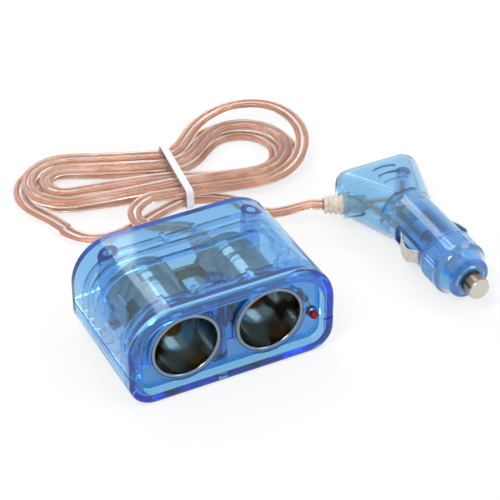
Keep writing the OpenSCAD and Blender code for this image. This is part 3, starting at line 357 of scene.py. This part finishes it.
def turned_nickel():
    """Nickel plate on turned brass, with rings from the tool: bright on the pin's end, and darker
    along its side as painted reflection of the nut's dark inside."""
    finish, tree, shader, spot = surface("nickel_plate_turned", Metallic=1.0)
    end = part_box("plug_tip")[0].y
    # painted reflection: the pin's side darkens from its end towards the nut
    vary(tree, shader, along_y(tree, spot, end, end + PIN_OUT),
         tones=[(0.08, colours().nickel), (0.2, "#8C8178"), (0.8, "#6A5F57")])
    turned = add(tree, "ShaderNodeMapping", {"Vector": spot, "Scale": (0.05, 1.0, 0.05)})
    rings = add(tree, "ShaderNodeTexNoise", {"Vector": turned.outputs["Vector"],
                                             "Scale": per(0.3), "Detail": 3.0,
                                             "Roughness": 0.6})
    blotch = add(tree, "ShaderNodeTexNoise", {"Vector": spot, "Scale": per(2.5), "Detail": 3.0})
    vary(tree, shader, blotch.outputs["Fac"], rough=(0.14, 0.26))
    vary(tree, shader, rings.outputs["Fac"], relief=(0.01, 0.4))
    return finish


def spring_nickel():
    """Nickel-plated spring bronze, stamped and formed: satin, with darker spots of wear."""
    finish, tree, shader, spot = surface("nickel_spring_bronze_stamped", Metallic=1.0)
    grain = add(tree, "ShaderNodeTexNoise", {"Vector": spot, "Scale": per(0.8), "Detail": 4.0})
    vary(tree, shader, grain.outputs["Fac"], tones=[(0.25, "#A9A294"), (0.6, "#D6D1C7")],
         rough=(0.22, 0.42))
    return finish


def stamped_brass():
    """Stamped brass: warm yellow, with a dull oxide in patches."""
    finish, tree, shader, spot = surface("brass_stamped", Metallic=1.0)
    patch = add(tree, "ShaderNodeTexNoise", {"Vector": spot, "Scale": per(2.0), "Detail": 3.0})
    vary(tree, shader, patch.outputs["Fac"], tones=[(0.3, "#A8803F"), (0.65, "#D8B46C")],
         rough=(0.22, 0.45))
    return finish


def zinc_steel():
    """Zinc-plated steel: cool grey, with a fine crystalline grain."""
    finish, tree, shader, spot = surface("zinc_plated_steel", Metallic=1.0)
    grain = add(tree, "ShaderNodeTexNoise", {"Vector": spot, "Scale": per(0.6), "Detail": 4.0,
                                             "Roughness": 0.65})
    vary(tree, shader, grain.outputs["Fac"], tones=[(0.3, "#94979C"), (0.7, "#C9CBCE")],
         rough=(0.28, 0.5))
    return finish


def cast_epoxy():
    """Cast red epoxy of a lamp: a clear skin over a deep, slightly cloudy red."""
    finish, tree, shader, spot = surface("epoxy_lamp_cast", Roughness=0.06, IOR=1.4,
                                         Subsurface_Weight=0.3, Subsurface_Scale=1 * MM)
    cloud = add(tree, "ShaderNodeTexNoise", {"Vector": spot, "Scale": per(1.2), "Detail": 2.0})
    vary(tree, shader, cloud.outputs["Fac"], tones=[(0.3, "#6C0005"), (0.7, colours().lamp)])
    return finish


def lacquered_resistor():
    """Dipped lacquer on a resistor: a tan body with bands about a millimetre wide."""
    finish, tree, shader, spot = surface("resistor_lacquer_dipped", Roughness=0.35)
    low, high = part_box("lamp_resistor")
    tan, brown, black, red = "#C8A878", "#7A3B1E", "#2B2B2B", "#B02A1E"
    bands = add(tree, "ShaderNodeValToRGB", {"Fac": along_y(tree, spot, low.y, high.y)},
                {"Color": shader.inputs["Base Color"]},
                [(0.0, tan), (0.2, brown), (0.3, tan), (0.42, black), (0.52, tan),
                 (0.62, red), (0.72, tan)])
    bands.color_ramp.interpolation = "CONSTANT"
    return finish


def tinned_wire():
    """Tinned copper wire: soft, bright grey."""
    finish, tree, shader, spot = surface("tinned_copper_wire", "#C9C5BC", Metallic=1.0)
    grain = add(tree, "ShaderNodeTexNoise", {"Vector": spot, "Scale": per(0.8), "Detail": 3.0})
    vary(tree, shader, grain.outputs["Fac"], rough=(0.2, 0.45))
    return finish


def sleeved_core():
    """One core of the cord inside a casing: copper strands close under a clear vinyl skin,
    which looks paler and less metallic than bare copper."""
    finish, tree, shader, spot = surface("copper_core_clear_sleeve", Metallic=0.15,
                                         Roughness=0.35, Coat_Weight=1.0,
                                         Coat_Roughness=0.08, Coat_IOR=1.45)
    lay = add(tree, "ShaderNodeTexNoise", {"Vector": spot, "Scale": per(0.7), "Detail": 4.0,
                                           "Roughness": 0.6})
    vary(tree, shader, lay.outputs["Fac"], tones=[(0.3, "#DDA98C"), (0.7, "#F2D6C6")],
         relief=(0.04, 0.6))
    return finish


def clear_vinyl():
    """Extruded clear vinyl: a glassy sleeve, a little milky, that looks white at its edges."""
    finish, tree, shader, spot = surface("vinyl_clear_extruded", "#FFFDFB",
                                         Transmission_Weight=0.92, IOR=1.36)
    wave = add(tree, "ShaderNodeTexNoise", {"Vector": spot, "Scale": per(4.0), "Detail": 2.0})
    vary(tree, shader, wave.outputs["Fac"], rough=(0.05, 0.16))
    return finish


def bunched_copper():
    """Bunched bare copper strands, laid in a long twist under the sleeve. Its bright and dark
    long patches are painted highlights and painted dark reflections. The core's UVs run once
    round it, and along it in millimetres."""
    finish, tree, shader, spot = surface("copper_strands_bunched", Metallic=1.0)
    uv = add(tree, "ShaderNodeTexCoord").outputs["UV"]
    split = add(tree, "ShaderNodeSeparateXYZ", {"Vector": uv})
    lean = add(tree, "ShaderNodeMath", {0: split.outputs["Y"], 1: 1 / STRAND_LAY},
               operation="MULTIPLY")
    turn = add(tree, "ShaderNodeMath", {0: split.outputs["X"], 1: lean.outputs[0]},
               operation="ADD")
    strands = add(tree, "ShaderNodeMath", {0: turn.outputs[0], 1: 2 * math.pi * STRANDS_ROUND},
                  operation="MULTIPLY")
    wave = add(tree, "ShaderNodeMath", {0: strands.outputs[0]}, operation="SINE")
    height = add(tree, "ShaderNodeMapRange", {"Value": wave.outputs[0], "From Min": -1.0,
                                              "From Max": 1.0})
    vary(tree, shader, height.outputs["Result"], relief=(0.09, 0.9))
    # painted highlights and dark reflections: bright and dark long patches of the copper's colour
    patch = add(tree, "ShaderNodeTexNoise", {"Vector": spot, "Scale": per(16.0), "Detail": 2.0})
    vary(tree, shader, patch.outputs["Fac"],
         tones=[(0.25, "#B06944"), (0.5, colours().copper), (0.75, "#F1C0A3")],
         rough=(0.2, 0.34))
    return finish


def extruded_nylon():
    """Natural nylon: milky white, with light inside it."""
    finish, tree, shader, spot = surface("nylon_natural_extruded", Subsurface_Weight=0.25,
                                         Subsurface_Scale=1 * MM)
    grain = add(tree, "ShaderNodeTexNoise", {"Vector": spot, "Scale": per(1.5), "Detail": 3.0})
    vary(tree, shader, grain.outputs["Fac"], tones=[(0.3, "#DEDEE8"), (0.7, colours().tie)],
         rough=(0.35, 0.5))
    return finish


def soft_vinyl():
    """Soft beige vinyl, moulded on the cord: waxy and half clear."""
    finish, tree, shader, spot = surface("vinyl_beige_moulded", Roughness=0.38,
                                         Subsurface_Weight=0.35, Subsurface_Scale=1.5 * MM,
                                         Subsurface_Radius=(1.0, 0.7, 0.5))
    grain = add(tree, "ShaderNodeTexNoise", {"Vector": spot, "Scale": per(1.2), "Detail": 4.0})
    vary(tree, shader, grain.outputs["Fac"], tones=[(0.3, "#CDBBAA"), (0.7, colours().relief)],
         relief=(0.05, 0.6))
    return finish


def fuse_tube_glass():
    """Drawn glass tube of a fuse: clear and smooth."""
    finish, tree, shader, spot = surface("glass_tube_drawn", "#F4FAF8", Transmission_Weight=1.0,
                                         IOR=1.5)
    wave = add(tree, "ShaderNodeTexNoise", {"Vector": spot, "Scale": per(5.0), "Detail": 3.0})
    vary(tree, shader, wave.outputs["Fac"], rough=(0.0, 0.04))
    return finish


@cache
def material(maker):
    """A finish, made once and shared by its pieces."""
    return maker()


# Pieces from the solid model --------------------------------------------------

def put(name, data):
    """Puts a new object into the scene."""
    item = bpy.data.objects.new(name, data)
    bpy.context.scene.collection.objects.link(item)
    return item


def paint(maker, node):
    """Gives a node of the solid model its finish, and shows it as it is."""
    mesh = frame["nodes"][node].data
    mesh.materials.clear()
    mesh.materials.append(material(maker))


def smooth_copy(node, finish, bevel_mm):
    """A piece with the node's exact shape, its curves smooth and, if asked, its edges eased."""
    source = frame["nodes"][node]
    mesh = bpy.data.meshes.new(node + "_skin")
    work = bmesh.new()
    work.from_mesh(source.data)
    bmesh.ops.remove_doubles(work, verts=work.verts, dist=WELD)
    bmesh.ops.dissolve_degenerate(work, edges=work.edges, dist=WELD)
    work.normal_update()
    for face in work.faces:
        face.smooth = True
    for edge in work.edges:
        edge.smooth = len(edge.link_faces) == 2 and edge.calc_face_angle(0) < sizes().edge_angle
    work.to_mesh(mesh)
    work.free()
    mesh.materials.append(finish)
    piece = put(node + "_skin", mesh)
    if bevel_mm:
        ease = piece.modifiers.new("eased_edges", "BEVEL")
        ease.width = bevel_mm * MM
        ease.segments = 2
        ease.limit_method = "ANGLE"
        ease.angle_limit = sizes().edge_angle
        ease.use_clamp_overlap = True
    level = piece.modifiers.new("flat_faces", "WEIGHTED_NORMAL")
    level.keep_sharp = True
    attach(piece, source["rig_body"])
    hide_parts(node)
    return piece


def dress(maker, *nodes, bevel_mm=0.0):
    """Smooth pieces of one finish, in place of the nodes."""
    return [smooth_copy(node, material(maker), bevel_mm) for node in nodes]


# The cord's line and its sections ---------------------------------------------

def catmull(a, b, c, d, t):
    """A point between b and c on the smooth curve through four points."""
    return 0.5 * (2 * b + (c - a) * t + (2 * a - 5 * b + 4 * c - d) * t * t
                  + (3 * b - a - 3 * c + d) * t ** 3)


def curved(route):
    """A smooth line through the route's points."""
    line = []
    last = len(route) - 1
    for i in range(last):
        a, b, c, d = route[max(0, i - 1)], route[i], route[i + 1], route[min(last, i + 2)]
        line += [catmull(a, b, c, d, k / STRETCH_STEPS) for k in range(STRETCH_STEPS)]
    return line + [route[-1]]


def even(points):
    """The same line with its points a point gap apart, smoothed where its stretches meet."""
    clean = [points[0]]
    for point in points[1:]:
        if (point - clean[-1]).length > SAME_POINT:
            clean.append(point)
    for _ in range(SMOOTHINGS):
        inner = [(a + 2 * b + c) / 4 for a, b, c in zip(clean, clean[1:], clean[2:])]
        clean = [clean[0], *inner, clean[-1]]
    walked = [0.0]
    for a, b in zip(clean, clean[1:]):
        walked.append(walked[-1] + (b - a).length)
    count = round(walked[-1] / POINT_GAP)
    line, i = [], 0
    for n in range(count + 1):
        want = walked[-1] * n / count
        while i < len(walked) - 2 and walked[i + 1] < want:
            i += 1
        share = (want - walked[i]) / (walked[i + 1] - walked[i])
        line.append(clean[i].lerp(clean[i + 1], share))
    return line


class Arc(NamedTuple):
    """A bend of the hank's innermost strand. Its way is 1 where the strands further out
    have a larger radius, and -1 where they have a smaller one."""
    x: float
    y: float
    radius: float
    way: int
    start: float
    end: float

    def at(self, angle, out):
        """The point at an angle, on the strand that lies that far out."""
        radius = self.radius + self.way * out
        return Vector((self.x + radius * math.cos(angle), self.y + radius * math.sin(angle)))


def waist_turn(x, y, lobe_r, waist_r):
    """Slope of the straight from a bend at the waist to a lobe's."""
    apart = HANK.waist + waist_r - y
    return math.atan2(x, apart) - math.acos((lobe_r + waist_r) / math.hypot(x, apart))


def hank_arcs():
    """The bends of one turn: right lobe, far side, left lobe, near side, right lobe."""
    (left_x, left_y, left_r), (right_x, right_y, right_r) = HANK.left, HANK.right
    far, near, quarter = HANK.far, HANK.near, math.pi / 2
    far_right = waist_turn(right_x, right_y, right_r, far)
    far_left = waist_turn(left_x, left_y, left_r, far)
    near_right = waist_turn(right_x, -right_y, right_r, near)
    near_left = waist_turn(left_x, -left_y, left_r, near)
    return [
        Arc(right_x, right_y, right_r, 1, 0, quarter + far_right),
        Arc(0, HANK.waist + far, far, -1, far_right - quarter, -quarter - far_left),
        Arc(-left_x, left_y, left_r, 1, quarter - far_left, 3 * quarter + near_left),
        Arc(0, -HANK.waist - near, near, -1, quarter + near_left, quarter - near_right),
        Arc(right_x, right_y, right_r, 1, -quarter - near_right, 0),
    ]


def clamped(t):
    return max(0.0, min(1.0, t))


def eased(t):
    """From 0 to 1 with soft ends."""
    t = clamped(t)
    return t * t * (3 - 2 * t)


def loose_lift(t):
    """Height of the last loop beyond the waist, where it is free and stands up."""
    low, high = HANK.loose_turns
    return HANK.loose * math.sin(math.pi * clamped((t - low) / (high - low))) ** 2


def hank_point(arcs, ends, t):
    """The hank's point at t turns. The upper layer winds in, drops at the middle turn, and
    the lower one winds out; ends are the lengths at which arcs and straights end."""
    want = (t - math.floor(t)) * ends[-1]
    i = min(sum(1 for end in ends if end <= want) - 1, len(ends) - 2)
    share = (want - ends[i]) / (ends[i + 1] - ends[i])
    out = HANK.step * abs(t - HANK.middle)
    arc = arcs[i // 2]
    if i % 2 == 0:
        u, v = arc.at(arc.start + (arc.end - arc.start) * share, out)
    else:
        after = arcs[i // 2 + 1]
        u, v = arc.at(arc.end, out).lerp(after.at(after.start, out), share)
    z = (REST + HANK.rise * (1 - eased((t - HANK.middle) / HANK.climb + 0.5))
         + HANK.lift * math.exp(-(u / HANK.reach) ** 2) + loose_lift(t))
    cos, sin = math.cos(HANK.turn), math.sin(HANK.turn)
    return Vector((HANK.x + u * cos - v * sin, HANK.y + u * sin + v * cos, z))


def hank_line(rings):
    """Points of the hank in millimetres, from the housing's end to the plug's."""
    arcs = hank_arcs()
    ends = [0.0]
    for i, arc in enumerate(arcs):
        ends.append(ends[-1] + (arc.radius + arc.way * HANK.step) * abs(arc.end - arc.start))
        if i + 1 < len(arcs):
            after = arcs[i + 1]
            straight = after.at(after.start, HANK.step) - arc.at(arc.end, HANK.step)
            ends.append(ends[-1] + straight.length)
    count = math.ceil(HANK.turns * rings)
    return [hank_point(arcs, ends, HANK.start + HANK.turns * n / count)
            for n in range(count + 1)]


def cord_line():
    """The whole cord's centreline in metres, from the housing's grommet to the plug's relief."""
    coarse = hank_line(COARSE_RINGS)
    lead = (coarse[1] - coarse[0]).normalized() * CORD_T
    tail = (coarse[-1] - coarse[-2]).normalized() * CORD_T
    into, out = coarse[0] - lead * 2, coarse[-1] + tail * 2
    before = curved([*map(Vector, TO_HOUSING), into - lead * 2, into - lead, into])
    after = curved([out, out + tail, out + tail * 2, *map(Vector, TO_PLUG),
                    *(RELIEF_END + RELIEF_WAY * CORD_T * k for k in (2, 1, 0))])
    return [point * MM for point in even(before + hank_line(sizes().rings_per_turn) + after)]


def sleeve_section(width, height, web):
    """Outline of the sleeve, two round halves joined by a web, as (across, up) points."""
    radius = height / 2
    reach = width / 2 - radius
    opening = math.asin(min(WEB_MOST, web / height))
    angles = [opening - math.pi + (2 * math.pi - 2 * opening) * k / ROUND_STEPS
              for k in range(ROUND_STEPS + 1)]
    right = [(reach + radius * math.cos(a), radius * math.sin(a)) for a in angles]
    return right + [(-x, -y) for x, y in right]


def core_section(radius):
    """Outline of a core, as (across, up) points."""
    angles = [2 * math.pi * k / ROUND_STEPS for k in range(ROUND_STEPS)]
    return [(radius * math.cos(a), radius * math.sin(a)) for a in angles]


def sweep(work, uv, line, section, slot, shift=0.0):
    """Adds a closed tube of the section along the line, shifted to its side. Its UVs run
    once round it, and along it in millimetres."""
    rings = []
    for i, point in enumerate(line):
        way = (line[min(len(line) - 1, i + 1)] - line[max(0, i - 1)]).normalized()
        side = way.cross(Vector((0, 0, 1))).normalized()
        rise = side.cross(way)
        rings.append([work.verts.new(point + side * (x + shift) + rise * y) for x, y in section])
    count = len(section)
    walked = 0.0
    for i, (near, far) in enumerate(zip(rings, rings[1:])):
        ahead = walked + (line[i + 1] - line[i]).length / MM
        for k in range(count):
            after = (k + 1) % count
            face = work.faces.new((near[k], near[after], far[after], far[k]))
            face.smooth = True
            face.material_index = slot
            corners = ((k / count, walked), ((k + 1) / count, walked),
                       ((k + 1) / count, ahead), (k / count, ahead))
            for loop, corner in zip(face.loops, corners):
                loop[uv].uv = corner
        walked = ahead
    for ring in (rings[0][::-1], rings[-1]):
        work.faces.new(ring).material_index = slot


# Operators --------------------------------------------------------------------

class SPLITTER_OT_stage(Operator):
    """Sets the white table, the soft light and the camera"""
    bl_idname = "splitter.stage"
    bl_label = "Set the stage"

    def execute(self, context):
        scene = context.scene
        scene.view_settings.view_transform = "Standard"
        self.light_paths(scene.cycles)
        self.white_room(scene)
        self.table()
        for name, spot, side, watts in LAMPS:
            self.lamp(name, spot, side, watts)
        self.camera(scene)
        return {"FINISHED"}

    def light_paths(self, cycles):
        """Light runs on inside the clear walls until the blue has taken it, not until a
        bounce limit."""
        cycles.max_bounces = 40
        cycles.transmission_bounces = 32
        cycles.glossy_bounces = 24

    def seen(self, tree):
        """1 for rays that the camera, glass or metal sends, 0 for light on surfaces."""
        rays = add(tree, "ShaderNodeLightPath").outputs
        first = add(tree, "ShaderNodeMath", {0: rays["Is Camera Ray"], 1: rays["Is Glossy Ray"]},
                    operation="MAXIMUM")
        return add(tree, "ShaderNodeMath",
                   {0: first.outputs[0], 1: rays["Is Transmission Ray"]},
                   operation="MAXIMUM").outputs[0]

    def white_room(self, scene):
        """A white room that lights the object less than it shows."""
        scene.world = bpy.data.worlds.new("white_room")
        scene.world.use_nodes = True
        tree = scene.world.node_tree
        tree.nodes.clear()
        strength = add(tree, "ShaderNodeMapRange", {"Value": self.seen(tree),
                                                    "To Min": ROOM_LIGHT, "To Max": ROOM_SEEN})
        output = add(tree, "ShaderNodeOutputWorld")
        add(tree, "ShaderNodeBackground",
            {"Color": rgba("#FFFFFF"), "Strength": strength.outputs["Result"]},
            {"Background": output.inputs["Surface"]})

    def table(self):
        """A wide table under the object."""
        mesh = bpy.data.meshes.new("table_top")
        corners = ((-1, -1), (1, -1), (1, 1), (-1, 1))
        mesh.from_pydata([(TABLE_HALF * x, TABLE_HALF * y, TABLE_LEVEL) for x, y in corners],
                         [], [(0, 1, 2, 3)])
        mesh.materials.append(self.white_paper())
        put("table_top", mesh)

    def white_paper(self):
        """Matt white paper sweep: nearly all light to the eye, and a faint shadow."""
        finish = bpy.data.materials.new("paper_sweep_matt")
        finish.use_nodes = True
        tree = finish.node_tree
        tree.nodes.clear()
        spot = add(tree, "ShaderNodeTexCoord").outputs["Object"]
        grain = add(tree, "ShaderNodeTexNoise", {"Vector": spot, "Scale": per(3.0),
                                                 "Detail": 3.0})
        tone = add(tree, "ShaderNodeValToRGB", {"Fac": grain.outputs["Fac"]},
                   stops=[(0.0, "#F2F2F2"), (1.0, "#F6F6F6")])
        matt = add(tree, "ShaderNodeBsdfDiffuse", {"Color": tone.outputs["Color"]})
        glow = add(tree, "ShaderNodeEmission", {"Color": rgba("#FFFFFF"), "Strength": 1.0})
        share = add(tree, "ShaderNodeMath", {0: self.seen(tree), 1: PAPER_GLOW},
                    operation="MULTIPLY")
        output = add(tree, "ShaderNodeOutputMaterial")
        add(tree, "ShaderNodeMixShader",
            {0: share.outputs[0], 1: matt.outputs["BSDF"], 2: glow.outputs["Emission"]},
            {"Shader": output.inputs["Surface"]})
        return finish

    def lamp(self, name, spot, side, watts):
        """A square softbox that faces the object."""
        light = bpy.data.lights.new(name, "AREA")
        light.shape = "SQUARE"
        light.size = side
        light.energy = watts
        lamp = put(name, light)
        lamp.location = spot
        aim = Vector(LAMPS_AIM) - Vector(spot)
        lamp.rotation_euler = aim.to_track_quat("-Z", "Y").to_euler()

    def camera(self, scene):
        """The photo's view, from the solved place and directions of its camera."""
        data = bpy.data.cameras.new("table_view")
        data.lens = sizes().camera_lens
        data.sensor_width = SENSOR_WIDTH
        data.sensor_fit = "HORIZONTAL"
        data.clip_start = 0.01
        data.clip_end = 20
        camera = put("table_view", data)
        back = Vector(CAMERA_BACK).normalized()
        up = back.cross(Vector(CAMERA_RIGHT).normalized())
        turn = Matrix((up.cross(back), up, back)).transposed().to_4x4()
        camera.matrix_world = Matrix.Translation(CAMERA_AT) @ turn
        scene.camera = camera


class SPLITTER_OT_housing(Operator):
    """Finishes the two shells and the front panel of the housing"""
    bl_idname = "splitter.housing"
    bl_label = "Finish the housing"

    def execute(self, context):
        dress(housing_plastic, "upper_shell", "lower_shell")
        dress(panel_plastic, "front_panel")
        return {"FINISHED"}


class SPLITTER_OT_sockets(Operator):
    """Finishes the sockets and the contacts inside the housing"""
    bl_idname = "splitter.sockets"
    bl_label = "Finish the sockets"

    def execute(self, context):
        dress(drawn_nickel, "left_socket", "right_socket")
        dress(base_plastic, "left_socket_base", "right_socket_base")
        dress(stamped_brass, "left_centre_contact", "right_centre_contact")
        paint(stamped_brass, "positive_strap")
        paint(zinc_steel, "ground_strap")
        return {"FINISHED"}


class SPLITTER_OT_wiring(Operator):
    """Finishes the lamp, its resistor and the wires"""
    bl_idname = "splitter.wiring"
    bl_label = "Finish the wiring"

    def execute(self, context):
        dress(cast_epoxy, "indicator_lamp")
        dress(lacquered_resistor, "lamp_resistor")
        dress(tinned_wire, "lamp_leads")
        dress(sleeved_core, "live_lead", "ground_lead", "plug_live_lead", "plug_ground_lead")
        return {"FINISHED"}


class SPLITTER_OT_plug(Operator):
    """Finishes the plug's casing, nut, pin and side contacts"""
    bl_idname = "splitter.plug"
    bl_label = "Finish the plug"

    def execute(self, context):
        dress(plug_plastic, "plug_upper_shell", "plug_lower_shell")
        dress(nut_plastic, "nose_nut")
        dress(turned_nickel, "plug_tip", bevel_mm=0.1)
        dress(spring_nickel, "left_side_contact", "right_side_contact", bevel_mm=0.08)
        paint(spring_nickel, "contact_bridge")
        dress(spring_nickel, "spring_terminal")
        return {"FINISHED"}


class SPLITTER_OT_fuse(Operator):
    """Finishes the fuse and its spring, and gives the spring a mesh of its own"""
    bl_idname = "splitter.fuse"
    bl_label = "Finish the fuse"

    def execute(self, context):
        dress(fuse_tube_glass, "fuse_glass")
        dress(spring_nickel, "fuse_caps")
        [spring] = dress(zinc_steel, "fuse_spring")
        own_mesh(spring)
        return {"FINISHED"}


class SPLITTER_OT_screws(Operator):
    """Finishes the screws"""
    bl_idname = "splitter.screws"
    bl_label = "Finish the screws"

    def execute(self, context):
        dress(zinc_steel, "housing_screws", "plug_screw")
        return {"FINISHED"}


class SPLITTER_OT_cord(Operator):
    """Lays the twin cord with its hank, and finishes its tie, grommet and strain relief"""
    bl_idname = "splitter.cord"
    bl_label = "Lay the cord"

    def execute(self, context):
        line = cord_line()
        cord = put("twin_cord", self.sleeve_and_cores(line))
        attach(cord, "splitter")
        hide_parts("cord_to_housing", "cord_hank", "cord_to_plug")
        riders = (dress(extruded_nylon, "cable_tie", bevel_mm=0.2)
                  + dress(soft_vinyl, "cord_grommet", "plug_relief", bevel_mm=0.12))
        self.declare(cord, line, riders + self.plug_pieces())
        return {"FINISHED"}

    def sleeve_and_cores(self, line):
        """The cord's mesh: a clear sleeve with two copper cores in it."""
        s = sizes()
        work = bmesh.new()
        uv = work.loops.layers.uv.new("UVMap")
        sweep(work, uv, line, sleeve_section(s.cord_width, s.cord_height, s.web_height), 0)
        reach = s.cord_width / 2 - s.cord_height / 2
        for shift in (-reach, reach):
            sweep(work, uv, line, core_section(s.core_radius), 1, shift)
        bmesh.ops.recalc_face_normals(work, faces=work.faces)
        mesh = bpy.data.meshes.new("twin_cord")
        work.to_mesh(mesh)
        work.free()
        mesh.materials.append(material(clear_vinyl))
        mesh.materials.append(material(bunched_copper))
        return mesh

    def plug_pieces(self):
        """What hangs on the cord's far end: the plug's pieces, which the steps before made,
        and the one node of it that is shown as it is."""
        nodes = ("nose_nut", "plug_tip", "fuse_glass", "fuse_caps", "fuse_spring",
                 "spring_terminal", "left_side_contact", "right_side_contact",
                 "plug_live_lead", "plug_ground_lead", "plug_screw", "plug_upper_shell",
                 "plug_lower_shell")
        return [bpy.data.objects[n + "_skin"] for n in nodes] + [frame["nodes"]["contact_bridge"]]

    def declare(self, cord, line, pieces):
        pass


class SPLITTER_PT_panel(Panel):
    """Lists the sizes, the colours and the steps that dress the splitter"""
    bl_idname = "SPLITTER_PT_panel"
    bl_label = "Socket splitter"
    bl_space_type = "VIEW_3D"
    bl_region_type = "UI"
    bl_category = "Splitter"

    def draw(self, context):
        layout = self.layout
        for group in (context.scene.splitter_sizes, context.scene.splitter_colours):
            box = layout.box()
            for name in group.bl_rna.properties.keys():
                if name not in ("rna_type", "name"):
                    box.prop(group, name)
        for step in STEPS:
            layout.operator(step.bl_idname)


STEPS = (SPLITTER_OT_stage, SPLITTER_OT_housing, SPLITTER_OT_sockets, SPLITTER_OT_wiring,
         SPLITTER_OT_plug, SPLITTER_OT_fuse, SPLITTER_OT_screws, SPLITTER_OT_cord)
CLASSES = (SplitterSizes, SplitterColours) + STEPS + (SPLITTER_PT_panel,)


def register():
    for cls in CLASSES:
        bpy.utils.register_class(cls)
    bpy.types.Scene.splitter_sizes = PointerProperty(type=SplitterSizes)
    bpy.types.Scene.splitter_colours = PointerProperty(type=SplitterColours)


def unregister():
    del bpy.types.Scene.splitter_colours
    del bpy.types.Scene.splitter_sizes
    for cls in reversed(CLASSES):
        bpy.utils.unregister_class(cls)


def main():
    register()
    bpy.ops.splitter.stage()
    bpy.ops.splitter.housing()
    bpy.ops.splitter.sockets()
    bpy.ops.splitter.wiring()
    bpy.ops.splitter.plug()
    bpy.ops.splitter.fuse()
    bpy.ops.splitter.screws()
    bpy.ops.splitter.cord()


if __name__ == "__main__":
    main()
